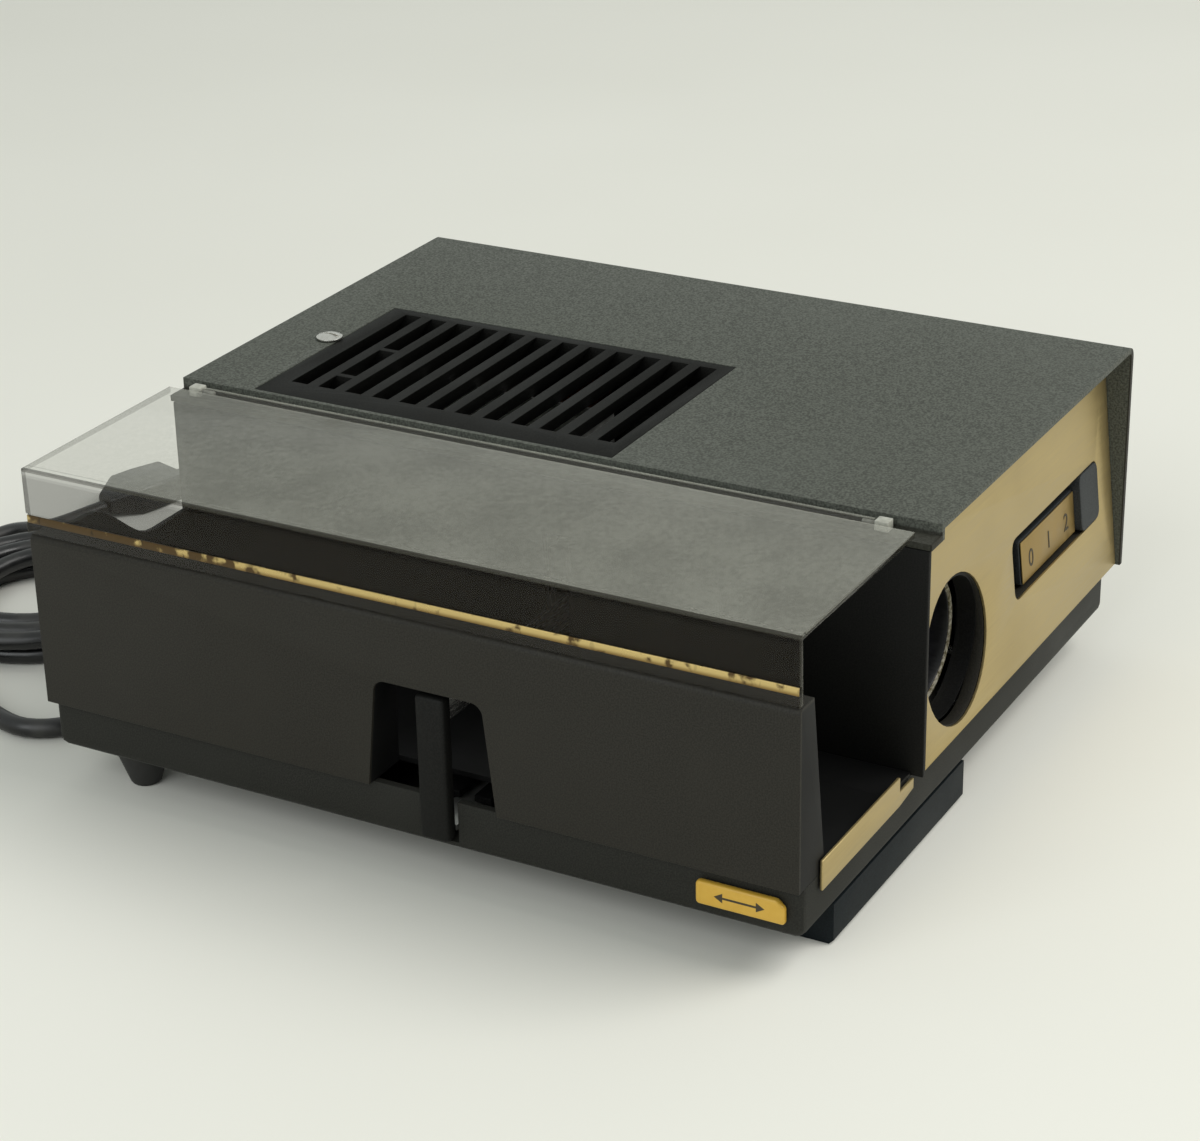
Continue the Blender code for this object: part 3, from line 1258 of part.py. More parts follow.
BARREL_RADIUS = 0.02125
BARREL_FROM_FRONT = 0.0150
LENS_TO_GATE = 0.0460
BARREL_BORE = 0.0180
BARREL_RIM = 0.0188
RIM_DEPTH = 0.0050
BARREL_STEP = 0.0010
FRONT_ELEMENT_EDGE = 0.0040
FRONT_ELEMENT_SAG = 0.0022
REAR_ELEMENT_EDGE = 0.0035
REAR_ELEMENT_SAG = 0.0018
ELEMENT_STEPS = 4
SLEEVE_WALL = 0.0020
SLEEVE_FROM_FRONT = 0.0190
SLEEVE_LENGTH = 0.0200
LUG_SETBACK = 0.0030
ROD_RADIUS = 0.0020
ROD_BORE = 0.0023
ROD_OFFSET_X = 0.0310
ROD_OFFSET_Z = 0.0170
LUG_RADIUS = 0.0045
ROD_BRACKET_SHEET = 0.0012
ROD_BRACKET_FRONT = 0.0142
ROD_BRACKET_REAR = 0.0700
ROD_BRACKET_WIDTH = 0.0120

Y_BARREL = Y_FRONT + BARREL_FROM_FRONT
BARREL_LENGTH = Y_GATE - LENS_TO_GATE - Y_BARREL
SLEEVE_RADIUS = BARREL_RADIUS + SEAT_GAP + SLEEVE_WALL


def make_lens_barrel():
    """Stepped tube with a stop ring inside, between its two elements."""
    stop = BARREL_BORE - 2 * BARREL_STEP
    front_seat = RIM_DEPTH + FRONT_ELEMENT_EDGE + 2 * SEAT_GAP
    rear_seat = BARREL_LENGTH - REAR_ELEMENT_EDGE - RIM_DEPTH / 2
    profile = [(BARREL_RIM, 0), (BARREL_RADIUS - BARREL_STEP / 2, 0),
               (BARREL_RADIUS, BARREL_STEP / 2), (BARREL_RADIUS, BARREL_LENGTH),
               (BARREL_BORE, BARREL_LENGTH), (BARREL_BORE, rear_seat), (stop, rear_seat),
               (stop, front_seat), (BARREL_BORE, front_seat), (BARREL_BORE, RIM_DEPTH),
               (BARREL_RIM, 0)]
    barrel = turned(profile[::-1], "Y", (X_LENS, Y_BARREL, Z_LENS))
    return finish(barrel, "lens_barrel", lens_black(), smooth=True)


def element_profile(radius, edge, front_sag, rear_sag):
    """Lens section along its axis, with bulged faces at both ends."""
    front = []
    rear = []
    for index in range(ELEMENT_STEPS + 1):
        share = index / ELEMENT_STEPS
        bulge = 1 - share * share
        front.append((radius * share, -front_sag * bulge))
        rear.append((radius * share, edge + rear_sag * bulge))
    return front + rear[::-1]


def make_element(name, y, radius, edge, front_sag, rear_sag):
    profile = element_profile(radius, edge, front_sag, rear_sag)
    glass = turned(profile[::-1], "Y", (X_LENS, y, Z_LENS))
    return finish(glass, name, clear_glass(), smooth=True)


def make_lens_front_element():
    return make_element("lens_front_element", Y_BARREL + RIM_DEPTH + SEAT_GAP,
                        BARREL_BORE - SEAT_GAP, FRONT_ELEMENT_EDGE,
                        FRONT_ELEMENT_SAG, -FRONT_ELEMENT_SAG / 2)


def make_lens_rear_element():
    y = Y_BARREL + BARREL_LENGTH - RIM_DEPTH / 2 - REAR_ELEMENT_EDGE + SEAT_GAP
    return make_element("lens_rear_element", y, BARREL_BORE - SEAT_GAP,
                        REAR_ELEMENT_EDGE - SEAT_GAP, -REAR_ELEMENT_SAG / 2,
                        REAR_ELEMENT_SAG)


def rod_places():
    x = X_LENS + ROD_OFFSET_X
    return [(x, Z_LENS - ROD_OFFSET_Z), (x, Z_LENS + ROD_OFFSET_Z)]


def make_lens_carriage():
    """Ring round the barrel with two bored lugs that run on the rods."""
    low = Y_FRONT + SLEEVE_FROM_FRONT
    high = low + SLEEVE_LENGTH
    ring = prism([circle((X_LENS, Z_LENS), SLEEVE_RADIUS)], "XZ", low, high)
    for x, z in rod_places():
        outline = ([(X_LENS, z - LUG_RADIUS)] + arc((x, z), LUG_RADIUS, -90, 90)
                   + [(X_LENS, z + LUG_RADIUS)])
        join(ring, prism([outline], "XZ", low + LUG_SETBACK, high - RUN_GAP))
    overrun = CUT_OVERRUN
    cut_rod(ring, BARREL_RADIUS + SEAT_GAP, (X_LENS, low - overrun, Z_LENS),
            (X_LENS, high + overrun, Z_LENS), ROUND_STEPS)
    for x, z in rod_places():
        cut_rod(ring, ROD_BORE, (x, low - overrun, z), (x, high + overrun, z))
    return finish(ring, "lens_carriage", black_plastic(), smooth=True)


def make_lens_rods():
    y0 = Y_FRONT + ROD_BRACKET_FRONT - ROD_BRACKET_SHEET
    y1 = Y_FRONT + ROD_BRACKET_REAR + 2 * ROD_BRACKET_SHEET
    for name, (x, z) in zip(("lens_rod_lower", "lens_rod_upper"), rod_places()):
        finish(rod(ROD_RADIUS, (x, y0, z), (x, y1, z)), name, bright_steel(), smooth=True)


def make_rod_bracket():
    """U-shaped sheet bracket on the chassis that holds both rods at their ends."""
    y0, y1 = Y_FRONT + ROD_BRACKET_FRONT, Y_FRONT + ROD_BRACKET_REAR
    t = ROD_BRACKET_SHEET
    low = Z_CHASSIS_TOP + SEAT_GAP
    top = Z_LENS + ROD_OFFSET_Z + LUG_RADIUS
    outline = [(y0, low), (y1 + t, low), (y1 + t, top), (y1, top), (y1, low + t),
               (y0 + t, low + t), (y0 + t, top), (y0, top)]
    x = X_LENS + ROD_OFFSET_X
    bracket = prism([outline], "YZ", x - ROD_BRACKET_WIDTH / 2, x + ROD_BRACKET_WIDTH / 2)
    for rod_x, z in rod_places():
        cut_rod(bracket, ROD_BORE, (rod_x, y0 - CUT_OVERRUN, z),
                (rod_x, y1 + CUT_OVERRUN, z))
    return finish(bracket, "rod_bracket", zinc_steel())


# Focus tab on the base pan's near side, and the bent arm up to the carriage

TAB_LENGTH = 0.0280
TAB_HEIGHT = 0.0076
TAB_ABOVE_BASE = 0.0054
TAB_PROUD = 0.0024
TAB_CORNER = 0.0012
TAB_CHAMFER = 0.0025
TAB_FRONT_DROP = 0.0012
LEG_FLANGE = 0.0060

Z_TAB = Z_BASE + TAB_ABOVE_BASE


def make_focus_arm():
    """Z-shaped strip: flat run under the channel, leg and top flange."""
    t = FOCUS_ARM_THICKNESS
    low = Z_FOCUS_ARM
    right = X_LENS + CARRIAGE_LEG_WIDTH / 2
    top = Z_LENS - SLEEVE_RADIUS - SEAT_GAP
    start = X_BASE_NEAR + BASE_WALL + SEAT_GAP
    outline = [(start, low), (right, low), (right, top), (right - LEG_FLANGE, top),
               (right - LEG_FLANGE, top - t), (right - t, top - t), (right - t, low + t),
               (start, low + t)]
    arm = prism([outline], "XZ", Y_FOCUS - FOCUS_ARM_WIDTH / 2, Y_FOCUS + FOCUS_ARM_WIDTH / 2)
    return finish(arm, "focus_arm", zinc_steel())


def make_focus_tab():
    """Flat yellow tab with round corners and a stem through the pan's slot."""
    rear = Y_FOCUS + TAB_LENGTH / 2
    front = Y_FOCUS - TAB_LENGTH / 2
    high = Z_TAB + TAB_HEIGHT
    front_high = high - TAB_FRONT_DROP
    outline = (arc((rear - TAB_CORNER, Z_TAB + TAB_CORNER), TAB_CORNER, 270, 360, 3)
               + arc((rear - TAB_CORNER, high - TAB_CORNER), TAB_CORNER, 0, 90, 3)
               + [(front + TAB_CHAMFER, high), (front, front_high - TAB_FRONT_DROP),
                  (front, Z_TAB)])
    back = X_BASE_NEAR - SEAT_GAP
    tab = prism([outline], "YZ", back - TAB_PROUD, back)
    stem_end = X_BASE_NEAR + BASE_WALL
    half = FOCUS_ARM_WIDTH / 2
    join(tab, block((back - TAB_PROUD / 2, Y_FOCUS - half, Z_FOCUS_ARM),
                    (stem_end, Y_FOCUS + half, Z_FOCUS_ARM + FOCUS_ARM_THICKNESS)))
    return finish(tab, "focus_tab", yellow_plastic())


# Lamp house and the light source inside it

HOUSE_SHEET = 0.0010
HOUSE_FROM_WALL = 0.0030
HOUSE_WIDTH = 0.0590
HOUSE_BEHIND_GATE = 0.0130
HOUSE_LENGTH = 0.0930
HOUSE_TOP_GAP = 0.0007
HOUSE_LIGHT_HOLE = 0.0170
FAN_RADIUS = 0.0250
FAN_HOLE = 0.0262
FAN_ABOVE_LENS = 0.0054

Z_HOUSE = Z_CHASSIS_TOP + SEAT_GAP
Z_HOUSE_TOP = Z_TOP - GRILLE_RECESS + SEAT_GAP + GRILLE_FLANGE - GRILLE_DEPTH - HOUSE_TOP_GAP
X_HOUSE = X_WALL + HOUSE_FROM_WALL
X_HOUSE_END = X_HOUSE + HOUSE_WIDTH
Y_HOUSE = Y_GATE + HOUSE_BEHIND_GATE
Y_HOUSE_END = Y_HOUSE + HOUSE_LENGTH
Z_FAN = Z_LENS + FAN_ABOVE_LENS


def make_lamp_house():
    """Bent steel shroud, open below and under the grille."""
    t = HOUSE_SHEET
    outer = [(X_HOUSE, Y_HOUSE), (X_HOUSE_END, Y_HOUSE), (X_HOUSE_END, Y_HOUSE_END),
             (X_HOUSE, Y_HOUSE_END)]
    inner = [(X_HOUSE + t, Y_HOUSE + t), (X_HOUSE_END - t, Y_HOUSE + t),
             (X_HOUSE_END - t, Y_HOUSE_END - t), (X_HOUSE + t, Y_HOUSE_END - t)]
    house = prism([outer, inner], "XY", Z_HOUSE, Z_HOUSE_TOP)
    cut_rod(house, HOUSE_LIGHT_HOLE, (X_LENS, Y_HOUSE - CUT_OVERRUN, Z_LENS),
            (X_LENS, Y_HOUSE + CUT_OVERRUN, Z_LENS), ROUND_STEPS)
    cut_rod(house, FAN_HOLE, (X_HOUSE_END - CUT_OVERRUN, Y_LAMP, Z_FAN),
            (X_HOUSE_END + CUT_OVERRUN, Y_LAMP, Z_FAN), ROUND_STEPS)
    return finish(house, "lamp_house", zinc_steel())


SOCKET_SIZE = (0.0220, 0.0140, 0.0120)
LAMP_RADIUS = 0.0060
LAMP_HEIGHT = 0.0300
LAMP_PINCH = 0.0040
LAMP_PIN = 0.0006


def make_lamp_socket():
    """Ceramic block on the chassis that the lamp's base stands on."""
    width, length, height = SOCKET_SIZE
    low = Z_CHASSIS_TOP + SEAT_GAP
    socket = block((X_LENS - width / 2, Y_LAMP - length / 2, low),
                   (X_LENS + width / 2, Y_LAMP + length / 2, low + height))
    soften(socket, LAMP_PIN, 1)
    return finish(socket, "lamp_socket", ceramic())


def make_lamp():
    """Glass halogen capsule with its narrow base."""
    low = Z_CHASSIS_TOP + 2 * SEAT_GAP + SOCKET_SIZE[2]
    shoulder = LAMP_HEIGHT - LAMP_RADIUS
    top = [(LAMP_RADIUS * math.sin(math.radians(a)),
            shoulder + LAMP_RADIUS * math.cos(math.radians(a))) for a in (0, 30, 60, 90)]
    neck = LAMP_HEIGHT / 3
    profile = top + [(LAMP_RADIUS, neck), (LAMP_PINCH, neck - LAMP_PINCH / 2),
                     (LAMP_PINCH, 0), (0, 0)]
    lamp = turned(profile, "Z", (X_LENS, Y_LAMP, low), SMALL_ROUND_STEPS)
    return finish(lamp, "lamp", clear_glass(), smooth=True)


REFLECTOR_RADIUS = 0.0160
REFLECTOR_SHEET = 0.0010
REFLECTOR_SAG = 0.0060
REFLECTOR_STEM = 0.0030
REFLECTOR_BEHIND_LAMP = 0.0120


def make_reflector():
    """Concave mirror behind the lamp, on a stem from the lamp house's rear wall."""
    front = Y_LAMP + REFLECTOR_BEHIND_LAMP
    end = Y_HOUSE_END - HOUSE_SHEET - SEAT_GAP
    inner = []
    outer = []
    for index in range(ELEMENT_STEPS + 1):
        share = index / ELEMENT_STEPS
        depth = REFLECTOR_SAG * (1 - share * share)
        inner.append((REFLECTOR_RADIUS * share, depth))
        radius = REFLECTOR_STEM + (REFLECTOR_RADIUS - REFLECTOR_STEM) * share
        outer.append((radius, depth + REFLECTOR_SHEET))
    profile = [(0, end - front), (REFLECTOR_STEM, end - front)] + outer + inner[::-1]
    mirror = turned(profile, "Y", (X_LENS, front, Z_LENS))
    return finish(mirror, "reflector", mirror_glass(), smooth=True)


CONDENSER_RADIUS = 0.0200
CONDENSER_EDGE = 0.0025
CONDENSER_SAG = 0.0065
HEAT_GLASS_THICKNESS = 0.0030
HEAT_GLASS_HALF = 0.0190
FRONT_CONDENSER_SETBACK = 0.0090
HEAT_GLASS_SETBACK = 0.0200
REAR_CONDENSER_SETBACK = 0.0310
CRADLE_TOP = 0.0110
CRADLE_LENGTH = 0.0440
CRADLE_WIDTH = 0.0360


def make_condenser_front():
    y = Y_HOUSE + FRONT_CONDENSER_SETBACK
    return make_element("condenser_front", y, CONDENSER_RADIUS, CONDENSER_EDGE,
                        CONDENSER_SAG, 0)


def make_condenser_rear():
    y = Y_HOUSE + REAR_CONDENSER_SETBACK
    return make_element("condenser_rear", y, CONDENSER_RADIUS, CONDENSER_EDGE,
                        0, CONDENSER_SAG)


def make_heat_glass():
    """Square heat-absorbing filter between the condensers."""
    y = Y_HOUSE + HEAT_GLASS_SETBACK
    pane = block((X_LENS - HEAT_GLASS_HALF, y, Z_LENS - HEAT_GLASS_HALF),
                 (X_LENS + HEAT_GLASS_HALF, y + HEAT_GLASS_THICKNESS,
                  Z_LENS + HEAT_GLASS_HALF))
    return finish(pane, "heat_glass", clear_glass())


def make_condenser_cradle():
    """Saddle on the chassis with a groove for each lens and the filter."""
    low = Z_CHASSIS_TOP + SEAT_GAP
    y = Y_HOUSE + HOUSE_SHEET + SEAT_GAP
    cradle = block((X_LENS - CRADLE_WIDTH / 2, y, low),
                   (X_LENS + CRADLE_WIDTH / 2, y + CRADLE_LENGTH, low + CRADLE_TOP))
    for setback, front_sag, rear_sag in (
            (FRONT_CONDENSER_SETBACK, CONDENSER_SAG, 0),
            (REAR_CONDENSER_SETBACK, 0, CONDENSER_SAG)):
        start = Y_HOUSE + setback
        cut_rod(cradle, CONDENSER_RADIUS + SEAT_GAP,
                (X_LENS, start - front_sag / 2 - SEAT_GAP, Z_LENS),
                (X_LENS, start + CONDENSER_EDGE + rear_sag / 2 + SEAT_GAP, Z_LENS),
                ROUND_STEPS)
    start = Y_HOUSE + HEAT_GLASS_SETBACK
    cut_block(cradle, (X_LENS - HEAT_GLASS_HALF - SEAT_GAP, start - SEAT_GAP,
                       Z_LENS - HEAT_GLASS_HALF - SEAT_GAP),
              (X_LENS + HEAT_GLASS_HALF + SEAT_GAP, start + HEAT_GLASS_THICKNESS + SEAT_GAP,
               Z_LENS))
    return finish(cradle, "condenser_cradle", zinc_steel())


# Cooling fan beside the lamp house, with its motor and bracket

FAN_HUB = 0.0080
FAN_DEPTH = 0.0080
FAN_BLADES = 6
FAN_BLADE_SHEET = 0.0010
FAN_BLADE_WIDTH = 0.0100
FAN_PITCH = math.radians(35)
FAN_FROM_HOUSE = 0.0025
SHAFT_RADIUS = 0.0015
SHAFT_BORE = 0.0018
MOTOR_THICKNESS = 0.0180
MOTOR_WIDTH = 0.0400
MOTOR_TALL = 0.0440
MOTOR_COIL = 0.0200
MOTOR_FROM_FAN = 0.0045
MOTOR_SHEET = 0.0012

X_FAN = X_HOUSE_END + FAN_FROM_HOUSE
X_MOTOR = X_FAN + FAN_DEPTH + MOTOR_FROM_FAN


def make_fan_impeller():
    """Hub with pitched blades, bored for the shaft."""
    hub = rod(FAN_HUB, (X_FAN, Y_LAMP, Z_FAN), (X_FAN + FAN_DEPTH, Y_LAMP, Z_FAN))
    half = (FAN_RADIUS - FAN_HUB + FAN_BLADE_SHEET) / 2
    for index in range(FAN_BLADES):
        blade = block((-FAN_BLADE_SHEET / 2, -FAN_BLADE_WIDTH / 2, -half),
                      (FAN_BLADE_SHEET / 2, FAN_BLADE_WIDTH / 2, half))
        turn = Matrix.Rotation(2 * math.pi * index / FAN_BLADES, 4, "X")
        out = Matrix.Translation((0, 0, FAN_RADIUS - half))
        pitch = Matrix.Rotation(FAN_PITCH, 4, "Z")
        blade.data.transform(turn @ out @ pitch)
        blade.location = (X_FAN + FAN_DEPTH / 2, Y_LAMP, Z_FAN)
        join(hub, blade)
    cut_rod(hub, SHAFT_BORE, (X_FAN - CUT_OVERRUN, Y_LAMP, Z_FAN),
            (X_FAN + FAN_DEPTH + CUT_OVERRUN, Y_LAMP, Z_FAN))
    return finish(hub, "fan_impeller", black_plastic())


def make_fan_shaft():
    shaft = rod(SHAFT_RADIUS, (X_FAN - FAN_BLADE_SHEET, Y_LAMP, Z_FAN),
                (X_MOTOR + MOTOR_THICKNESS - SHAFT_RADIUS, Y_LAMP, Z_FAN))
    return finish(shaft, "fan_shaft", bright_steel(), smooth=True)


def make_fan_motor():
    """Laminated stack of a shaded-pole motor, bored for the shaft."""
    half_tall = MOTOR_TALL / 2
    motor = block((X_MOTOR, Y_LAMP - MOTOR_WIDTH / 2, Z_FAN - half_tall),
                  (X_MOTOR + MOTOR_THICKNESS, Y_LAMP + MOTOR_WIDTH / 2, Z_FAN + half_tall))
    soften(motor, MOTOR_SHEET, 2)
    window = MOTOR_COIL / 2 + SEAT_GAP
    limb = MOTOR_COIL / 4
    low = Z_FAN - half_tall + limb
    high = low + limb + 2 * SEAT_GAP
    for side in (-1, 1):
        y0, y1 = sorted((Y_LAMP + side * limb, Y_LAMP + side * window))
        cut_block(motor, (X_MOTOR - CUT_OVERRUN, y0, low),
                  (X_MOTOR + MOTOR_THICKNESS + CUT_OVERRUN, y1, high))
    cut_rod(motor, SHAFT_BORE, (X_MOTOR - CUT_OVERRUN, Y_LAMP, Z_FAN),
            (X_MOTOR + MOTOR_THICKNESS + CUT_OVERRUN, Y_LAMP, Z_FAN))
    return finish(motor, "fan_motor", transformer_iron())


def make_motor_bracket():
    """L-shaped sheet from the chassis up behind the motor."""
    t = MOTOR_SHEET
    low = Z_CHASSIS_TOP + SEAT_GAP
    back = X_MOTOR + MOTOR_THICKNESS + SEAT_GAP
    outline = [(X_MOTOR, low), (back + t, low), (back + t, Z_FAN), (back, Z_FAN),
               (back, low + t), (X_MOTOR, low + t)]
    bracket = prism([outline], "XZ", Y_LAMP - MOTOR_WIDTH / 4, Y_LAMP + MOTOR_WIDTH / 4)
    return finish(bracket, "motor_bracket", zinc_steel())


# Transformer at the rear, on the far side

CORE_WIDTH = 0.0660
CORE_TALL = 0.0550
CORE_STACK = 0.0260
CORE_LIMB = 0.0110
CORE_FROM_FAR = 0.0385
CORE_FROM_REAR = 0.0600
COIL_BUILD = 0.0090

X_CORE = X_FAR - CORE_FROM_FAR
Y_CORE = Y_REAR - CORE_FROM_REAR
Z_CORE = Z_CHASSIS_TOP + SEAT_GAP


def make_transformer_core():
    """Stack of laminations with two windows beside its middle limb."""
    half = CORE_WIDTH / 2
    low, high = Z_CORE, Z_CORE + CORE_TALL
    loops = [[(X_CORE - half, low), (X_CORE + half, low), (X_CORE + half, high),
              (X_CORE - half, high)]]
    for side in (-1, 1):
        x0 = X_CORE + side * CORE_LIMB
        x1 = X_CORE + side * (half - CORE_LIMB)
        loops.append([(x0, low + CORE_LIMB), (x1, low + CORE_LIMB), (x1, high - CORE_LIMB),
                      (x0, high - CORE_LIMB)])
    core = prism(loops, "XZ", Y_CORE - CORE_STACK / 2, Y_CORE + CORE_STACK / 2)
    return finish(core, "transformer_core", transformer_iron())


def make_transformer_winding():
    """Rectangular winding round the middle limb."""
    inner_x = CORE_LIMB + SEAT_GAP
    inner_y = CORE_STACK / 2 + SEAT_GAP
    corner = COIL_BUILD / 3
    outer = rounded_box((X_CORE - inner_x - COIL_BUILD, Y_CORE - inner_y - COIL_BUILD),
                        (X_CORE + inner_x + COIL_BUILD, Y_CORE + inner_y + COIL_BUILD), corner)
    inner = [(X_CORE - inner_x, Y_CORE - inner_y), (X_CORE + inner_x, Y_CORE - inner_y),
             (X_CORE + inner_x, Y_CORE + inner_y), (X_CORE - inner_x, Y_CORE + inner_y)]
    low = Z_CORE + CORE_LIMB + RUN_GAP
    high = Z_CORE + CORE_TALL - CORE_LIMB - RUN_GAP
    winding = prism([outer, inner], "XY", low, high)
    return finish(winding, "transformer_winding", winding_varnish())


# Tray advance gear under the channel floor, between two posts of the base pan

# Root start, root end, tip start and tip end, as shares of a tooth's pitch
TOOTH_SHARES = (0.0, 0.3, 0.42, 0.88)

def make_tray_gear():
    """Toothed wheel with stub axles, whose rim reaches the rack under the tray."""
    outline = []
    root = GEAR_RADIUS - GEAR_TOOTH
    for index in range(GEAR_TEETH):
        radii = (root, root, GEAR_RADIUS, GEAR_RADIUS)
        for share, radius in zip(TOOTH_SHARES, radii):
            angle = 2 * math.pi * (index + share) / GEAR_TEETH
            outline.append((Y_GEAR + radius * math.cos(angle),
                            Z_GEAR + radius * math.sin(angle)))
    gear = prism([outline], "YZ", X_GEAR - GEAR_WIDTH / 2, X_GEAR + GEAR_WIDTH / 2)
    reach = GEAR_WIDTH / 2 + GEAR_POST_GAP + GEAR_POST
    join(gear, rod(GEAR_AXLE, (X_GEAR - reach, Y_GEAR, Z_GEAR),
                   (X_GEAR + reach, Y_GEAR, Z_GEAR)))
    return finish(gear, "tray_gear", black_plastic())


# Lid: bent smoked sheet over the tray channel, hinged on the cover's ledge

LID_THICKNESS = 0.0022
LID_SETBACK = 0.0003
LID_FOLD = 0.0032
LID_FRONT_INSET = 0.0050
LID_HINGE_EDGE = 0.0008
LID_AXIS_FROM_WALL = 0.0035
LID_AXIS_DROP = 0.0017
LID_BARREL = 0.0015
LID_PIN = 0.0007
LID_PIN_BORE = 0.0010
LID_PIN_REACH = 0.0040
LID_TAB_THICKNESS = 0.0015
LID_TAB_OVERLAP = 0.0030
HINGE_INSET_FRONT = 0.0145
HINGE_INSET_REAR = 0.0065
HINGE_BLOCK_LENGTH = 0.0045
HINGE_BLOCK_HALF = 0.0020
HINGE_PLAY = 0.0005
TRIM_LOW_DROP = 0.0181
TRIM_HEIGHT = 0.0026
TRIM_THICKNESS = 0.0005
TRIM_GROOVE = 0.0008

X_LID = X_NEAR + LID_SETBACK
X_HINGE = X_WALL + LID_AXIS_FROM_WALL
Z_HINGE = Z_TOP - LID_AXIS_DROP
Y_LID_FRONT = Y_FRONT + LID_FRONT_INSET
Y_LID_REAR = Y_REAR - RUN_GAP
Y_BARREL_FRONT = Y_FRONT + HINGE_INSET_FRONT + HINGE_BLOCK_LENGTH + HINGE_PLAY
Y_BARREL_REAR = Y_REAR - HINGE_INSET_REAR - HINGE_BLOCK_LENGTH - HINGE_PLAY


def make_lid():
    """L-shaped sheet with a round fold, a trim groove and a long hinge barrel."""
    t = LID_THICKNESS
    edge = X_WALL - LID_HINGE_EDGE
    bottom = Z_CASING_TOP + SEAT_GAP
    centre = (X_LID + LID_FOLD, Z_TOP - LID_FOLD)
    groove_low = Z_TOP - TRIM_LOW_DROP
    groove_high = groove_low + TRIM_HEIGHT + SEAT_GAP
    groove = X_LID + TRIM_GROOVE
    outline = ([(edge, Z_TOP)] + arc(centre, LID_FOLD, 90, 180)
               + [(X_LID, groove_high), (groove, groove_high), (groove, groove_low - SEAT_GAP),
                  (X_LID, groove_low - SEAT_GAP), (X_LID, bottom), (X_LID + t, bottom)]
               + arc(centre, LID_FOLD - t, 180, 90) + [(edge, Z_TOP - t)])
    lid = prism([outline], "XZ", Y_LID_FRONT, Y_LID_REAR)
    tab_top = Z_TOP - RUN_GAP
    join(lid, block((edge - LID_TAB_OVERLAP, Y_BARREL_FRONT, tab_top - LID_TAB_THICKNESS),
                    (X_HINGE, Y_BARREL_REAR, tab_top)))
    join(lid, rod(LID_BARREL, (X_HINGE, Y_BARREL_FRONT + SEAT_GAP, Z_HINGE),
                  (X_HINGE, Y_BARREL_REAR - SEAT_GAP, Z_HINGE)))
    bore = LID_PIN_REACH + RUN_GAP
    cut_rod(lid, LID_PIN_BORE, (X_HINGE, Y_BARREL_FRONT - CUT_OVERRUN, Z_HINGE),
            (X_HINGE, Y_BARREL_FRONT + bore, Z_HINGE))
    cut_rod(lid, LID_PIN_BORE, (X_HINGE, Y_BARREL_REAR - bore, Z_HINGE),
            (X_HINGE, Y_BARREL_REAR + CUT_OVERRUN, Z_HINGE))
    return finish(lid, "lid", smoked_acrylic())


def make_lid_trim():
    """Thin gold strip let into the lid's side just above its lower edge."""
    low = Z_TOP - TRIM_LOW_DROP
    back = X_LID + TRIM_GROOVE - SEAT_GAP
    trim = block((back - TRIM_THICKNESS, Y_LID_FRONT + RUN_GAP, low),
                 (back, Y_LID_REAR - RUN_GAP, low + TRIM_HEIGHT))
    return finish(trim, "lid_trim", gold_sheet())


def make_lid_posts():
    """Two small posts on the ledge, each with a pin into the lid's barrel."""
    low = Z_TOP - LEDGE_DROP + SEAT_GAP
    front = Y_FRONT + HINGE_INSET_FRONT
    rear = Y_REAR - HINGE_INSET_REAR - HINGE_BLOCK_LENGTH
    for name, y, toward in (("lid_post_front", front, 1), ("lid_post_rear", rear, -1)):
        post = block((X_HINGE - HINGE_BLOCK_HALF, y, low),
                     (X_HINGE + HINGE_BLOCK_HALF, y + HINGE_BLOCK_LENGTH, Z_TOP))
        soften(post, LID_PIN / 2, 2)
        middle = y + HINGE_BLOCK_LENGTH / 2
        tip = middle + toward * (HINGE_BLOCK_LENGTH / 2 + HINGE_PLAY + LID_PIN_REACH)
        join(post, rod(LID_PIN, (X_HINGE, middle, Z_HINGE), (X_HINGE, tip, Z_HINGE)))
        finish(post, name, black_plastic())


# Strain relief and mains cord

RELIEF_FLANGE = 0.0056
RELIEF_FLANGE_THICKNESS = 0.0016
RELIEF_BODY = 0.0054
RELIEF_TIP = 0.0042
RELIEF_LENGTH = 0.0300


def make_strain_relief():
    """Rubber sleeve snapped into the pan's rear wall, tapering towards the cord."""
    inside = Y_BASE_REAR - BASE_WALL - SEAT_GAP
    outside = Y_BASE_REAR + SEAT_GAP
    start = inside - RELIEF_FLANGE_THICKNESS
    shoulder = outside + RELIEF_FLANGE_THICKNESS
    length = RELIEF_LENGTH + shoulder - start
    profile = [(0, length), (RELIEF_TIP, length), (RELIEF_BODY, shoulder - start),
               (RELIEF_FLANGE, shoulder - start), (RELIEF_FLANGE, outside - start),
               (RELIEF_NECK, outside - start), (RELIEF_NECK, inside - start),
               (RELIEF_FLANGE, inside - start), (RELIEF_FLANGE, 0), (0, 0)]
    relief = turned(profile, "Y", (X_CORD_EXIT, start, Z_CORD_EXIT), SMALL_ROUND_STEPS)
    return finish(relief, "strain_relief", black_rubber(), smooth=True)


# Points of the cord's run, measured in cord diameters from where it leaves
LEAD_ROUTE = [
    (0.0, 0.0, 0.0), (0.0, 1.1, -0.05), (-0.35, 2.5, -0.55), (-1.4, 4.1, -1.4),
    (-3.2, 5.3, -2.3), (-5.4, 5.6, -2.8), (-7.6, 4.9, -2.88), (-9.8, 3.1, -2.88),
    (-12.4, 1.2, -2.88), (-15.4, 0.0, -2.88), (-18.6, -0.9, -2.88), (-22.0, -1.7, -2.88),
    (-25.6, -2.5, -2.88), (-28.3, -2.2, -2.88), (-29.6, -0.3, -2.88), (-29.1, 2.2, -2.88),
    (-27.7, 4.7, -2.88), (-26.2, 7.0, -2.88),
]
LEAD_STEPS_PER_SPAN = 3
LEAD_END_GAP = 0.0006

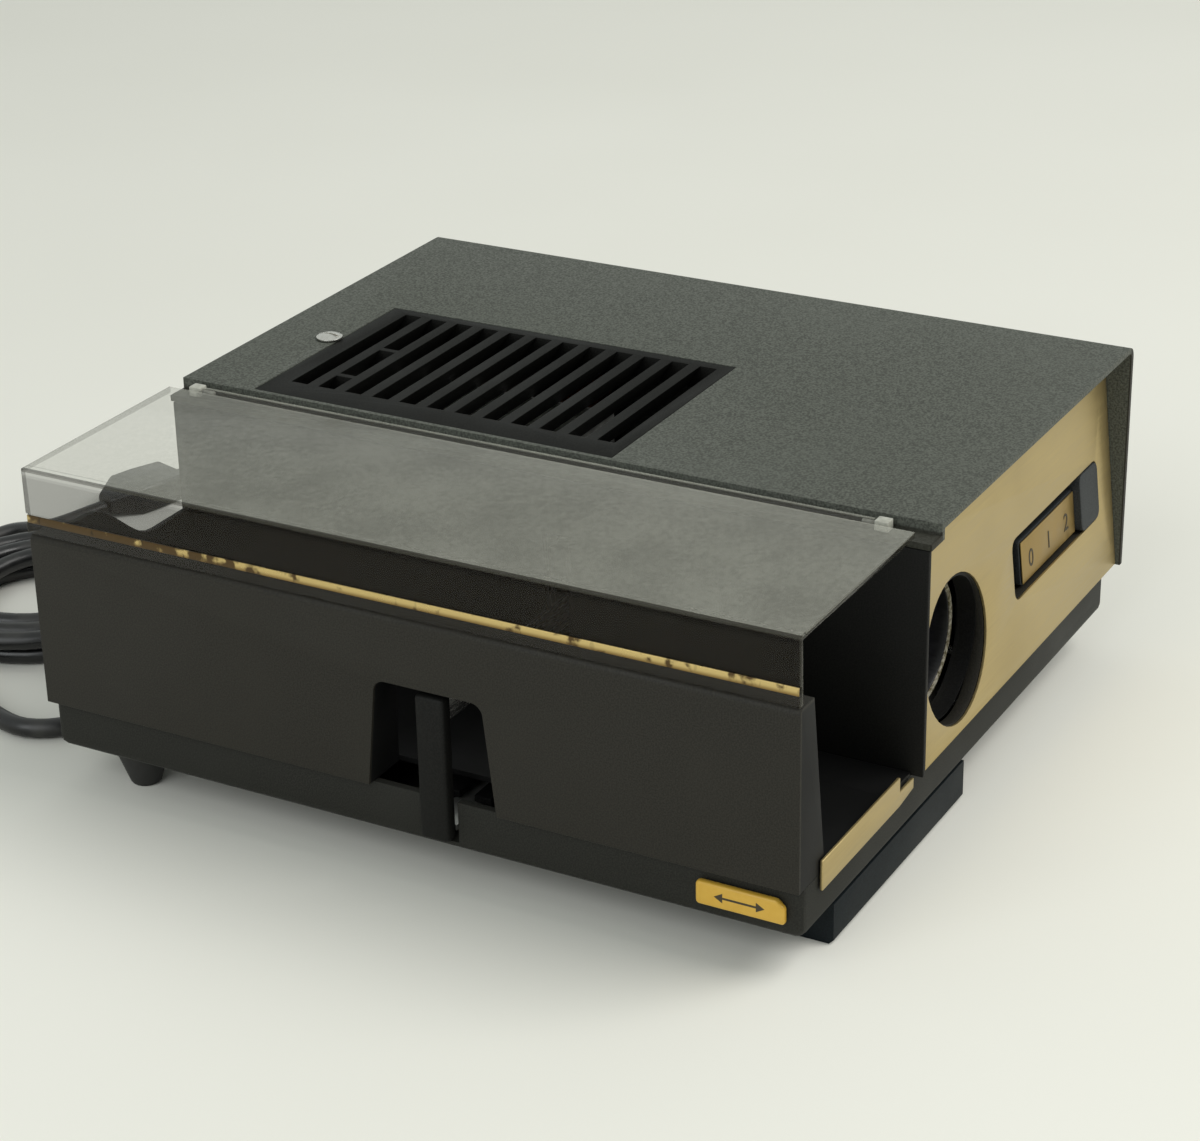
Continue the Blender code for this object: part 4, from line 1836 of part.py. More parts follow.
COIL_CENTRE_X = -0.0215
COIL_CENTRE_BEHIND = 0.0840
COIL_RADIUS = 0.0484
COIL_PITCH = 0.0073
COIL_LAYER = 0.0071
COIL_TURNS = 6.25
COIL_START_ANGLE = 160
COIL_POINTS_PER_TURN = 24
CORD_REST_GAP = 0.0001

X_COIL = COIL_CENTRE_X
Y_COIL = Y_REAR + COIL_CENTRE_BEHIND
Z_STRAND = CORD_DIAMETER / 2 + CORD_REST_GAP


def smooth_route(points, steps):
    """Points on a smooth curve through the chosen ones."""
    padded = [points[0]] + points + [points[-1]]
    route = []
    for index in range(1, len(padded) - 2):
        a, b, c, d = (Vector(padded[index + k]) for k in (-1, 0, 1, 2))
        for step in range(steps):
            s = step / steps
            route.append(0.5 * (2 * b + (c - a) * s + (2 * a - 5 * b + 4 * c - d) * s * s
                                + (3 * b - a - 3 * c + d) * s * s * s))
    route.append(Vector(points[-1]))
    return route


def tube(points, resolution):
    """A round cord along points, with closed ends."""
    curve = bpy.data.curves.new("cord", "CURVE")
    curve.dimensions = "3D"
    curve.bevel_depth = CORD_DIAMETER / 2
    curve.bevel_resolution = resolution
    curve.use_fill_caps = True
    spline = curve.splines.new("POLY")
    spline.points.add(len(points) - 1)
    for point, place in zip(spline.points, points):
        point.co = (*place, 1)
    obj = bpy.data.objects.new("cord", curve)
    bpy.context.scene.collection.objects.link(obj)
    return as_mesh(obj)


def coil_place(turns):
    """Place on the coil after so many turns: in on one layer, out on the next."""
    middle = COIL_TURNS / 2
    angle = math.radians(COIL_START_ANGLE - 360 * turns)
    radius = COIL_RADIUS - COIL_PITCH * min(turns, COIL_TURNS - turns)
    climb = min(max((turns - middle) * 2 + 0.5, 0), 1)
    z = Z_STRAND + COIL_LAYER * climb * climb * (3 - 2 * climb)
    return Vector((X_COIL + radius * math.cos(angle), Y_COIL + radius * math.sin(angle), z))


def coil_points():
    count = round(COIL_TURNS * COIL_POINTS_PER_TURN)
    return [coil_place(COIL_TURNS * index / count) for index in range(count + 1)]


def coil_heading(outward):
    """Direction of the cord at the coil's first or last point."""
    small = 0.001
    if outward:
        return (coil_place(COIL_TURNS) - coil_place(COIL_TURNS - small)).normalized()
    return (coil_place(small) - coil_place(0)).normalized()


# Tail of the coil down to the plug: (along, aside, down) in cord diameters
TAIL_ROUTE = [
    (1.2, 0.05, 0.0), (2.6, 0.25, 0.10), (4.0, 0.55, 0.50), (5.4, 0.85, 0.92),
    (6.8, 1.05, 1.07), (8.2, 1.15, 1.076), (9.4, 1.2, 1.076),
]


def tail_points():
    end = coil_place(COIL_TURNS)
    along = coil_heading(True)
    aside = Vector((-along.y, along.x, 0))
    points = [end]
    for forward, left, down in TAIL_ROUTE:
        place = end + along * forward * CORD_DIAMETER + aside * left * CORD_DIAMETER
        place.z = end.z - (end.z - Z_STRAND) * min(down / TAIL_ROUTE[-1][2], 1)
        points.append(place)
    return smooth_route(points, 2)[1:]


def cord_end(points):
    """End of a route and the direction that its last span heads in."""
    return points[-1], (points[-1] - points[-2]).normalized()


def make_cord_coil():
    """Coil on the table behind the rear, wound as one tube with its tail."""
    points = coil_points() + tail_points()
    report_least_gap(points)
    coil = tube(points, 1)
    return finish(coil, "cord_coil", black_rubber(), smooth=True)


def report_least_gap(points):
    """Print the least clear gap between strands that aren't neighbours."""
    apart = COIL_POINTS_PER_TURN // 3
    least = min((points[i] - points[j]).length
                for i in range(len(points)) for j in range(i + apart, len(points)))
    print("least gap between coil strands, mm:", round((least - CORD_DIAMETER) * 1000, 2))


def lead_points():
    start = Vector((X_CORD_EXIT, relief_end() + LEAD_END_GAP, Z_CORD_EXIT))
    points = [tuple(start + Vector(place) * CORD_DIAMETER) for place in LEAD_ROUTE]
    joint = coil_place(0)
    heading = coil_heading(False)
    end = joint - heading * LEAD_END_GAP
    points += [tuple(end - heading * CORD_DIAMETER * 1.2), tuple(end)]
    return smooth_route(points[:-1], LEAD_STEPS_PER_SPAN) + [Vector(points[-1])]


def relief_end():
    return Y_BASE_REAR + SEAT_GAP + RELIEF_FLANGE_THICKNESS + RELIEF_LENGTH


def make_cord_lead():
    """Cord from the strain relief along the table to the start of the coil."""
    lead = tube(lead_points(), 2)
    return finish(lead, "cord_lead", black_rubber(), smooth=True)


# Mains plug: moulded two-pin plug on the end of the cord

PLUG_LENGTH = 0.0340
PLUG_NECK = 0.0100
PLUG_HALF_WIDTH = 0.0110
PLUG_HALF_HEIGHT = 0.0060
PLUG_NECK_HALF = 0.0042
PIN_RADIUS = 0.0020
PIN_REACH = 0.0190
PIN_SPREAD = 0.0085
PIN_ROOT = 0.0030


def make_mains_plug():
    """Flat body that widens from the cord, with two round pins."""
    end, heading = cord_end(coil_points() + tail_points())
    outline = [(0, -PLUG_NECK_HALF), (PLUG_NECK, -PLUG_HALF_WIDTH + PIN_RADIUS),
               (PLUG_NECK + PLUG_HALF_HEIGHT, -PLUG_HALF_WIDTH), (PLUG_LENGTH, -PLUG_HALF_WIDTH),
               (PLUG_LENGTH, PLUG_HALF_WIDTH), (PLUG_NECK + PLUG_HALF_HEIGHT, PLUG_HALF_WIDTH),
               (PLUG_NECK, PLUG_HALF_WIDTH - PIN_RADIUS), (0, PLUG_NECK_HALF)]
    body = prism([outline], "XY", -PLUG_NECK_HALF + PIN_RADIUS / 2,
                 PLUG_HALF_HEIGHT + PIN_RADIUS)
    for side in (-1, 1):
        join(body, rod(PIN_RADIUS, (PLUG_LENGTH - PIN_ROOT, side * PIN_SPREAD, PIN_RADIUS),
                       (PLUG_LENGTH + PIN_REACH, side * PIN_SPREAD, PIN_RADIUS), 12))
    plug = apply_all(body)
    soften(plug, PIN_RADIUS / 2, 2)
    plug.rotation_euler = (0, 0, math.atan2(heading.y, heading.x))
    plug.location = end + heading * LEAD_END_GAP
    return finish(plug, "mains_plug", black_plastic())


# Assembly

def build_front():
    frame = lean_frame()
    slider_frame = empty("switch_slide", (0, 0, 0))
    slider_frame.parent = frame
    stand_in_front(frame, make_front_panel(), make_front_backing(), make_switch_housing())
    stand_in_front(slider_frame, make_switch_slider(), make_legend_plate())


def build_housing():
    make_base_pan()
    make_base_screws()
    make_rear_feet()
    make_chassis_plate()
    make_tray_casing()
    make_channel_end_wall()
    make_channel_wall()
    make_channel_front_plate()
    make_top_cover()
    make_vent_grille()
    make_grille_screw()
    make_rear_panel()
    make_lid_posts()
    make_tilt_foot_pin()
    build_front()


def build_optics():
    make_slide_gate()
    make_lens_rods()
    make_rod_bracket()
    make_lamp_house()
    make_lamp_socket()
    make_lamp()
    make_reflector()
    make_condenser_front()
    make_condenser_rear()
    make_heat_glass()
    make_condenser_cradle()


def build_power():
    make_fan_motor()
    make_motor_bracket()
    make_transformer_core()
    make_transformer_winding()
    make_strain_relief()
    make_cord_lead()
    make_cord_coil()
    make_mains_plug()


def build_moving():
    make_changer_guide()
    hang_on(empty("lid_hinge", (X_HINGE, 0, Z_HINGE)), make_lid(), make_lid_trim())
    hang_on(empty("changer_slide", (X_HANDLE, Y_GATE, Z_ARM)), make_changer_handle(),
            make_changer_arm(), make_pusher_blade())
    hang_on(empty("focus_slide", (X_LENS, Y_FOCUS, Z_LENS)), make_focus_tab(),
            make_focus_arm(), make_lens_carriage(), make_lens_barrel(),
            make_lens_front_element(), make_lens_rear_element())
    hang_on(empty("tilt_hinge", (X_TILT, Y_TILT, Z_TILT)), make_tilt_foot())
    hang_on(empty("fan_axis", (X_FAN, Y_LAMP, Z_FAN)), make_fan_impeller(), make_fan_shaft())
    hang_on(empty("gear_axis", (X_GEAR, Y_GEAR, Z_GEAR)), make_tray_gear())


def main():
    global parts, cutters
    clear_scene()
    parts = make_collection("slide_projector")
    cutters = make_collection("cutters")
    build_housing()
    build_optics()
    build_power()
    build_moving()
    bpy.context.view_layer.update()


main()
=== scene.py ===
import math

import bpy
from mathutils import Matrix, Vector


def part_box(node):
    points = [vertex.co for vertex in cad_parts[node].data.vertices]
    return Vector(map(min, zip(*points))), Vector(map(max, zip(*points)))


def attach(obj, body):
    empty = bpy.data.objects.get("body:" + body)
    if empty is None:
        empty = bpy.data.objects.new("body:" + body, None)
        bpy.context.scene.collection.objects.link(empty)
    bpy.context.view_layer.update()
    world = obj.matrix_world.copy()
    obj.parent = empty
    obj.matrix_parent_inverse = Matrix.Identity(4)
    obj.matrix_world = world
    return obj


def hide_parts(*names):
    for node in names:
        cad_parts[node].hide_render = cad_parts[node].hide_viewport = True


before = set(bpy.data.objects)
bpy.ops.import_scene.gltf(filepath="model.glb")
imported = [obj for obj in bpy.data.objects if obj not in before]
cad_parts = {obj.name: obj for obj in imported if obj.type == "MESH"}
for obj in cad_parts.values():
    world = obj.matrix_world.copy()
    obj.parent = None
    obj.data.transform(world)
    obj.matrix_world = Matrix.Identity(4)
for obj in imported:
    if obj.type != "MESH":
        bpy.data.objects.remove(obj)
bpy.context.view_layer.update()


# Camera
# It stands where the photographer stood: left of the lens side, a little above the lid,
# with a moderate telephoto view and the least tilt to one side.
CAMERA_PLACE = (-0.7768, -0.4348, 0.4650)
CAMERA_AZIMUTH = math.radians(-60.71)
CAMERA_ELEVATION = math.radians(24.87)
CAMERA_ROLL = math.radians(-1.27)
CAMERA_SENSOR_MM = 36
CAMERA_LENS_MM = 89.7

camera_data = bpy.data.cameras.new("camera")
camera_data.sensor_width = CAMERA_SENSOR_MM
camera_data.lens = CAMERA_LENS_MM
camera = bpy.data.objects.new("camera", camera_data)
bpy.context.scene.collection.objects.link(camera)
camera.matrix_world = (
    Matrix.Translation(CAMERA_PLACE)
    @ Matrix.Rotation(CAMERA_AZIMUTH, 4, "Z")
    @ Matrix.Rotation(math.pi / 2 - CAMERA_ELEVATION, 4, "X")
    @ Matrix.Rotation(CAMERA_ROLL, 4, "Z"))
bpy.context.scene.camera = camera


# Mains cord
# A round two-core lead in black plasticised rubber. It leaves the sleeve in the rear wall,
# drops to the table, shows its loop past the near rear corner and is wound up behind.
CORD_DIAMETER = 0.0066
CORD_EXIT = Vector((0.0935, 0.1660, 0.0225))
STRAND_HEIGHT = 0.0034
COIL_MIDDLE = Vector((-0.0215, 0.2190, 0))
COIL_RADIUS = 0.0484
COIL_PITCH = 0.0073
COIL_LAYER = 0.0071
COIL_TURNS = 6.25
COIL_START_ANGLE = 160
COIL_POINTS_PER_TURN = 36
SHORT_TURN = 0.001
RUN_IN = 1.2
STEPS_BETWEEN_POINTS = 4

# Points of the run, in cord diameters from where it leaves the sleeve
LEAD_ROUTE = [
    (0.0, 0.0, 0.0), (0.0, 1.1, -0.05), (-0.35, 2.5, -0.55), (-1.4, 4.1, -1.4),
    (-3.2, 5.3, -2.3), (-5.4, 5.6, -2.8), (-7.6, 4.9, -2.88), (-9.8, 3.1, -2.88),
    (-12.4, 1.2, -2.88), (-15.4, 0.0, -2.88), (-18.6, -0.9, -2.88), (-22.0, -1.7, -2.88),
    (-25.6, -2.5, -2.88), (-28.3, -2.2, -2.88), (-29.6, -0.3, -2.88), (-29.1, 2.2, -2.88),
    (-27.7, 4.7, -2.88), (-26.2, 7.0, -2.88),
]
# Points of the tail down to the plug: along, aside and down, in cord diameters
TAIL_ROUTE = [
    (1.2, 0.05, 0.0), (2.6, 0.25, 0.10), (4.0, 0.55, 0.50), (5.4, 0.85, 0.92),
    (6.8, 1.05, 1.07), (8.2, 1.15, 1.076), (9.4, 1.2, 1.076),
]


def smooth_route(points):
    """Points on a smooth curve through the chosen ones."""
    padded = [points[0]] + points + [points[-1]]
    route = []
    for index in range(1, len(padded) - 2):
        a, b, c, d = (Vector(padded[index + k]) for k in (-1, 0, 1, 2))
        for step in range(STEPS_BETWEEN_POINTS):
            s = step / STEPS_BETWEEN_POINTS
            route.append(0.5 * (2 * b + (c - a) * s + (2 * a - 5 * b + 4 * c - d) * s * s
                                + (3 * b - a - 3 * c + d) * s * s * s))
    route.append(Vector(points[-1]))
    return route


def coil_place(turns):
    """Place on the coil after so many turns: in on one layer, out on the next."""
    middle = COIL_TURNS / 2
    angle = math.radians(COIL_START_ANGLE - 360 * turns)
    radius = COIL_RADIUS - COIL_PITCH * min(turns, COIL_TURNS - turns)
    climb = min(max((turns - middle) * 2 + 0.5, 0), 1)
    height = STRAND_HEIGHT + COIL_LAYER * climb * climb * (3 - 2 * climb)
    spoke = Vector((radius * math.cos(angle), radius * math.sin(angle), height))
    return COIL_MIDDLE + spoke


coil_count = round(COIL_TURNS * COIL_POINTS_PER_TURN)
coil = [coil_place(COIL_TURNS * index / coil_count) for index in range(coil_count + 1)]
coil_heading = (coil_place(SHORT_TURN) - coil[0]).normalized()
tail_heading = (coil[-1] - coil_place(COIL_TURNS - SHORT_TURN)).normalized()
aside = Vector((-tail_heading.y, tail_heading.x, 0))
lead = [CORD_EXIT + Vector(place) * CORD_DIAMETER for place in LEAD_ROUTE]
lead += [coil[0] - coil_heading * CORD_DIAMETER * RUN_IN]
tail = [coil[-1]]
for forward, left, down in TAIL_ROUTE:
    spot = coil[-1] + (tail_heading * forward + aside * left) * CORD_DIAMETER
    spot.z = coil[-1].z - (coil[-1].z - STRAND_HEIGHT) * min(down / TAIL_ROUTE[-1][2], 1)
    tail.append(spot)
cord_points = smooth_route(lead + [coil[0]])[:-1] + coil + smooth_route(tail)[1:]
cord_end = cord_points[-1]
cord_heading = (cord_points[-1] - cord_points[-2]).normalized()

cord_curve = bpy.data.curves.new("cord", "CURVE")
cord_curve.dimensions = "3D"
cord_curve.bevel_depth = CORD_DIAMETER / 2
cord_curve.bevel_resolution = 5
cord_curve.use_fill_caps = True
cord_line = cord_curve.splines.new("POLY")
cord_line.points.add(len(cord_points) - 1)
for point, place in zip(cord_line.points, cord_points):
    point.co = (*place, 1)
cord_line.use_smooth = True
cord = bpy.data.objects.new("mains_cord", cord_curve)
bpy.context.scene.collection.objects.link(cord)


class Flow:
    """A value on its way through a finish. Sums on it add the Math nodes."""

    def __init__(self, finish, socket):
        self.finish = finish
        self.socket = socket

    def maths(self, operation, first, second):
        return self.finish.node("ShaderNodeMath", {"operation": operation},
                                {0: first, 1: second})

    def __add__(self, other):
        return self.maths("ADD", self, other)

    def __sub__(self, other):
        return self.maths("SUBTRACT", self, other)

    def __rsub__(self, other):
        return self.maths("SUBTRACT", other, self)

    def __mul__(self, other):
        return self.maths("MULTIPLY", self, other)

    __radd__ = __add__
    __rmul__ = __mul__


class Finish:
    """The finish of a surface: a Principled shader and the nodes that feed it."""

    def __init__(self, name, roughness=0.5, metallic=0.0, **constants):
        self.material = bpy.data.materials.new(name)
        self.material.use_nodes = True
        self.tree = self.material.node_tree
        self.shader = self.tree.nodes["Principled BSDF"]
        self.feed(self.shader.inputs["Roughness"], roughness)
        self.feed(self.shader.inputs["Metallic"], metallic)
        for name, value in constants.items():
            self.feed(self.shader.inputs[name.replace("_", " ")], value)
        self.place = self.node("ShaderNodeTexCoord", out="Object")

    def node(self, kind, settings=None, sockets=None, out=0):
        """A new node: its settings are set first, then its sockets are fed."""
        made = self.tree.nodes.new(kind)
        for name, value in (settings or {}).items():
            setattr(made, name, value)
        for name, value in (sockets or {}).items():
            self.feed(made.inputs[name], value)
        return Flow(self, made.outputs[out])

    def feed(self, socket, value):
        if isinstance(value, Flow):
            self.tree.links.new(value.socket, socket)
        else:
            socket.default_value = value

    def along(self, axis):
        """The distance along X, Y or Z, in metres."""
        return self.node("ShaderNodeSeparateXYZ", None, {"Vector": self.place}, out=axis)

    def grain(self, size, detail=2.0, stretch=(1, 1, 1)):
        """Noise, from 0 to 1, with lumps of that size in metres."""
        spread = self.node("ShaderNodeMapping", {"vector_type": "POINT"},
                           {"Vector": self.place, "Scale": [s / size for s in stretch]})
        return self.node("ShaderNodeTexNoise", None,
                         {"Vector": spread, "Scale": 1.0, "Detail": detail})

    def ramp(self, value, low, high, bottom=0.0, top=1.0):
        """The value from low to high, spread smoothly over bottom to top."""
        return self.node("ShaderNodeMapRange", {"interpolation_type": "SMOOTHSTEP"},
                         {"Value": value, "From Min": low, "From Max": high,
                          "To Min": bottom, "To Max": top})

    def blend(self, share, first, second):
        """A colour between two, by a share from 0 to 1."""
        return self.node("ShaderNodeMix", {"data_type": "RGBA"},
                         {0: share, 6: first, 7: second}, out=2)

    def colour(self, value):
        self.feed(self.shader.inputs["Base Color"], value)

    def roughness(self, value):
        self.feed(self.shader.inputs["Roughness"], value)

    def relief(self, height, depth):
        """Bumps of the surface: a height from 0 to 1, times a depth in metres."""
        bump = self.node("ShaderNodeBump", None,
                         {"Strength": 1.0, "Distance": depth, "Height": height})
        self.feed(self.shader.inputs["Normal"], bump)


def shade(red, green, blue):
    """A screen colour, 0 to 255 each, turned into the light that it stands for."""
    return (*(((c / 255 + 0.055) / 1.055) ** 2.4 if c > 10 else c / 255 / 12.92
              for c in (red, green, blue)), 1.0)


cord_rubber = Finish("cord_rubber", Specular_IOR_Level=0.5)
scuff = cord_rubber.grain(0.011, 3.0)
cord_rubber.colour(cord_rubber.blend(cord_rubber.ramp(scuff, 0.45, 0.75),
                                     shade(17, 17, 18), shade(44, 43, 41)))
cord_rubber.roughness(cord_rubber.ramp(scuff, 0.3, 0.7, 0.26, 0.46))
cord_rubber.relief(cord_rubber.grain(0.0008), 0.00002)


def settle(piece, finish, body, slot, *nodes):
    """Gives a finished piece its finish and its body, and hides the nodes that it stands for.
    """
    piece.data.materials.clear()
    piece.data.materials.append(finish.material)
    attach(piece, body)
    if nodes:
        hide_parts(*nodes)
    return piece


settle(cord, cord_rubber, "projector", "rubber", "cord_lead", "cord_coil")


# Plug
# A flat moulded plug with two round pins, in one piece with the end of the cord.
# Its body widens from the neck to the grip; the pins have plastic sleeves and bright tips.
PLUG_LENGTH = 0.0340
PLUG_HALF_WIDTH = 0.0106
PLUG_NECK = 0.0042
PLUG_LOW, PLUG_HIGH = 0.0004, 0.0110
PLUG_MIDDLE = 0.0055
PLUG_WAISTS = (0.32, 0.60)
NECK_SHARE = 0.62
FACE_SHARE = (0.90, 0.92)
PLUG_GAP = 0.0006
PIN_RADIUS = 0.0020
PIN_REACH = 0.0190
PIN_SPREAD = 0.0085
PIN_ROOT = 0.001
PIN_CLEARANCE = 0.0002
PIN_SIDES = 24
SLEEVE_REACH = 0.0105
PLUG_ROUNDING = 0.0016
ROUND_ABOVE = math.radians(30)
SMOOTH_BELOW = math.radians(35)

# Outlines of a pin: a share of its radius, and the distance along it in metres
SLEEVE_OUTLINE = [(0.97, 0), (0.97, SLEEVE_REACH), (0.9, SLEEVE_REACH + 0.0002)]
TIP_OUTLINE = [(0.9, SLEEVE_REACH - 0.0001), (0.9, PIN_REACH - 0.0004),
               (0.75, PIN_REACH + 0.0003), (0.4, PIN_REACH + 0.0008)]


def only(piece):
    """Selects one object and nothing else."""
    bpy.ops.object.select_all(action="DESELECT")
    piece.select_set(True)
    bpy.context.view_layer.objects.active = piece


def rename(piece, name):
    """Gives a piece and its mesh one name."""
    piece.name = name
    piece.data.name = name
    return piece


def turned_up(name, start, axis, stations, sides=48):
    """A turned piece, extruded from a disc: stations are (radius, distance along the axis)."""
    axis = Vector(axis).normalized()
    start = Vector(start)
    first_radius, first_along = stations[0]
    bpy.ops.object.select_all(action="DESELECT")
    bpy.ops.mesh.primitive_circle_add(
        vertices=sides, radius=first_radius, fill_type="NGON",
        location=start + axis * first_along,
        rotation=axis.to_track_quat("Z", "Y").to_euler())
    piece = bpy.context.active_object
    bpy.ops.object.transform_apply(location=True, rotation=True, scale=True)
    bpy.ops.object.mode_set(mode="EDIT")
    bpy.ops.mesh.select_all(action="SELECT")
    radius, along = first_radius, first_along
    for next_radius, next_along in stations[1:]:
        bpy.ops.mesh.extrude_region_move(
            TRANSFORM_OT_translate={"value": axis * (next_along - along)})
        grow = next_radius / radius
        bpy.ops.transform.resize(value=(grow, grow, grow),
                                 center_override=start + axis * next_along)
        radius, along = next_radius, next_along
    bpy.ops.mesh.select_all(action="SELECT")
    bpy.ops.mesh.normals_make_consistent(inside=False)
    bpy.ops.object.mode_set(mode="OBJECT")
    return rename(piece, name)


def smooth(piece):
    """Shades the piece smooth, but for its sharp edges."""
    only(piece)
    bpy.ops.object.shade_smooth_by_angle(angle=SMOOTH_BELOW)
    return piece


def round_edges(piece, width, segments):
    """Rounds all the piece's corners and edges that are sharp."""
    only(piece)
    bevel = piece.modifiers.new("edges", "BEVEL")
    bevel.width = width
    bevel.segments = segments
    bevel.limit_method = "ANGLE"
    bevel.angle_limit = ROUND_ABOVE
    bpy.ops.object.modifier_apply(modifier=bevel.name)
    return smooth(piece)


def merge(name, pieces):
    """Several meshes as one piece."""
    only(pieces[0])
    for piece in pieces[1:]:
        piece.select_set(True)
    bpy.ops.object.join()
    return rename(bpy.context.active_object, name)


def box(name, low, high):
    """A block between two corners, to be shaped further."""
    low, high = Vector(low), Vector(high)
    bpy.ops.object.select_all(action="DESELECT")
    bpy.ops.mesh.primitive_cube_add(size=1, location=(low + high) / 2)
    piece = bpy.context.active_object
    piece.scale = high - low
    bpy.ops.object.transform_apply(location=True, rotation=True, scale=True)
    return rename(piece, name)


def pick_faces(piece, test):
    """Selects the faces whose middle and normal pass a test, and stays in edit mode."""
    bpy.ops.object.mode_set(mode="OBJECT")
    for item in (*piece.data.vertices, *piece.data.edges):
        item.select = False
    for face in piece.data.polygons:
        face.select = bool(test(face.center, face.normal))
    bpy.ops.object.mode_set(mode="EDIT")


plug = box("plug_body", (0, -PLUG_HALF_WIDTH, PLUG_LOW),
           (PLUG_LENGTH, PLUG_HALF_WIDTH, PLUG_HIGH))
only(plug)
bpy.ops.object.mode_set(mode="EDIT")
bpy.ops.mesh.select_mode(type="FACE")
for share in PLUG_WAISTS:
    bpy.ops.mesh.select_all(action="SELECT")
    bpy.ops.mesh.bisect(plane_co=(PLUG_LENGTH * share, 0, 0), plane_no=(1, 0, 0))
pick_faces(plug, lambda middle, normal: normal.x < -0.9)
bpy.ops.transform.resize(value=(1, PLUG_NECK / PLUG_HALF_WIDTH, NECK_SHARE),
                         center_override=(0, 0, STRAND_HEIGHT))
pick_faces(plug, lambda middle, normal: normal.x > 0.9)
bpy.ops.transform.resize(value=(1, *FACE_SHARE), center_override=(PLUG_LENGTH, 0, PLUG_MIDDLE))
bpy.ops.object.mode_set(mode="OBJECT")
round_edges(plug, PLUG_ROUNDING, 4)
sleeves = []
tips = []
for side in (-1, 1):
    root = (PLUG_LENGTH - PIN_ROOT, side * PIN_SPREAD, PIN_RADIUS + PIN_CLEARANCE)
    for name, outline, made in (("sleeve", SLEEVE_OUTLINE, sleeves),
                                ("tip", TIP_OUTLINE, tips)):
        outline = [(PIN_RADIUS * share, along) for share, along in outline]
        made.append(turned_up(name, root, (1, 0, 0), outline, PIN_SIDES))
plug = merge("plug", [plug] + sleeves)
plug_pins = smooth(merge("plug_pins", tips))
smooth(plug)
plug_place = (Matrix.Translation((cord_end + cord_heading * PLUG_GAP) * Vector((1, 1, 0)))
              @ Matrix.Rotation(math.atan2(cord_heading.y, cord_heading.x), 4, "Z"))
for piece in (plug, plug_pins):
    piece.data.transform(plug_place)

plug_plastic = Finish("plug_plastic", Specular_IOR_Level=0.5)
wear = plug_plastic.grain(0.006, 3.0)
plug_plastic.colour(plug_plastic.blend(plug_plastic.ramp(wear, 0.4, 0.8),
                                       shade(20, 20, 21), shade(42, 41, 40)))
plug_plastic.roughness(plug_plastic.ramp(wear, 0.3, 0.7, 0.30, 0.45))
plug_plastic.relief(plug_plastic.grain(0.0005), 0.00003)


def varied(name, lump, low, high, shine, detail=3.0, stretch=(1, 1, 1), **constants):
    """A finish whose tone and roughness drift together, in lumps of one size."""
    made = Finish(name, **constants)
    made.drift = made.grain(lump, detail, stretch)
    made.colour(made.blend(made.drift, shade(*low), shade(*high)))
    made.roughness(made.ramp(made.drift, 0.3, 0.7, *shine))
    return made


pin_brass = varied("pin_brass", 0.0012, (176, 168, 150), (206, 200, 186), (0.22, 0.38),
                   stretch=(0.15, 1, 1), metallic=1.0)
settle(plug, plug_plastic, "projector", "black_plastic", "mains_plug")
settle(plug_pins, pin_brass, "projector", "bright_steel")


# Strain relief
# A soft rubber sleeve pushed into the rear wall of the base. It tapers towards the cord
# and has flexing grooves, so that the cord can't kink at the wall.
RELIEF_STEM = 0.0042
OUTER_FLANGE_END = 0.0016
WALL_SEAT_END = 0.0047
INNER_FLANGE_END = 0.0060
RIBS_START = 0.0075
RIB_RADIUS = 0.0054
RIB_TAPER = 0.0013
RIB_WIDTH = 0.0016
GROOVE_DEPTH = 0.0007
GROOVE_PITCH = 0.0030
CORD_END_RADIUS = 0.0041
FLANGE_CHAMFER = 0.0004
CHAMFER = 0.0003
relief_low, relief_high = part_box("strain_relief")
relief_length = relief_high.y - relief_low.y
flange_radius = (relief_high.x - relief_low.x) / 2
stations = [(flange_radius, 0), (flange_radius, OUTER_FLANGE_END),
            (RELIEF_STEM, OUTER_FLANGE_END), (RELIEF_STEM, WALL_SEAT_END),
            (flange_radius, WALL_SEAT_END), (flange_radius, INNER_FLANGE_END),
            (flange_radius - FLANGE_CHAMFER, INNER_FLANGE_END + FLANGE_CHAMFER)]
along = RIBS_START
while along + GROOVE_PITCH < relief_length:
    outer = RIB_RADIUS - RIB_TAPER * along / relief_length
    inner = outer - GROOVE_DEPTH
    stations += [(outer, along), (outer, along + RIB_WIDTH),
                 (inner, along + RIB_WIDTH + CHAMFER), (inner, along + GROOVE_PITCH - CHAMFER)]
    along += GROOVE_PITCH
stations += [(CORD_END_RADIUS, along), (CORD_END_RADIUS, relief_length - CHAMFER),
             (CORD_END_RADIUS - CHAMFER, relief_length)]
relief_axis = ((relief_low.x + relief_high.x) / 2, relief_low.y,
               (relief_low.z + relief_high.z) / 2)
strain_relief = smooth(turned_up("strain_relief_sleeve", relief_axis, (0, 1, 0), stations))
settle(strain_relief, cord_rubber, "projector", "rubber", "strain_relief")


# Floor and light
# A plain pale table top, a broad soft lamp from the front right and a weaker one from the
# left. The even pale surround is seen and mirrored in full, but lights matt surfaces less.
FLOOR_SIZE = 9
LAMP_AIM = (0, 0, 0.05)
SURROUND_SEEN = 1.0
SURROUND_GIVEN = 0.62
bpy.ops.object.select_all(action="DESELECT")
bpy.ops.mesh.primitive_plane_add(size=FLOOR_SIZE, location=(0, 0, 0))
floor = rename(bpy.context.active_object, "floor")
table_top = Finish("table_top", roughness=0.8)
cloud = table_top.grain(0.25, 2.0)
table_top.colour(table_top.blend(cloud, shade(234, 233, 224), shade(241, 240, 232)))
floor.data.materials.append(table_top.material)


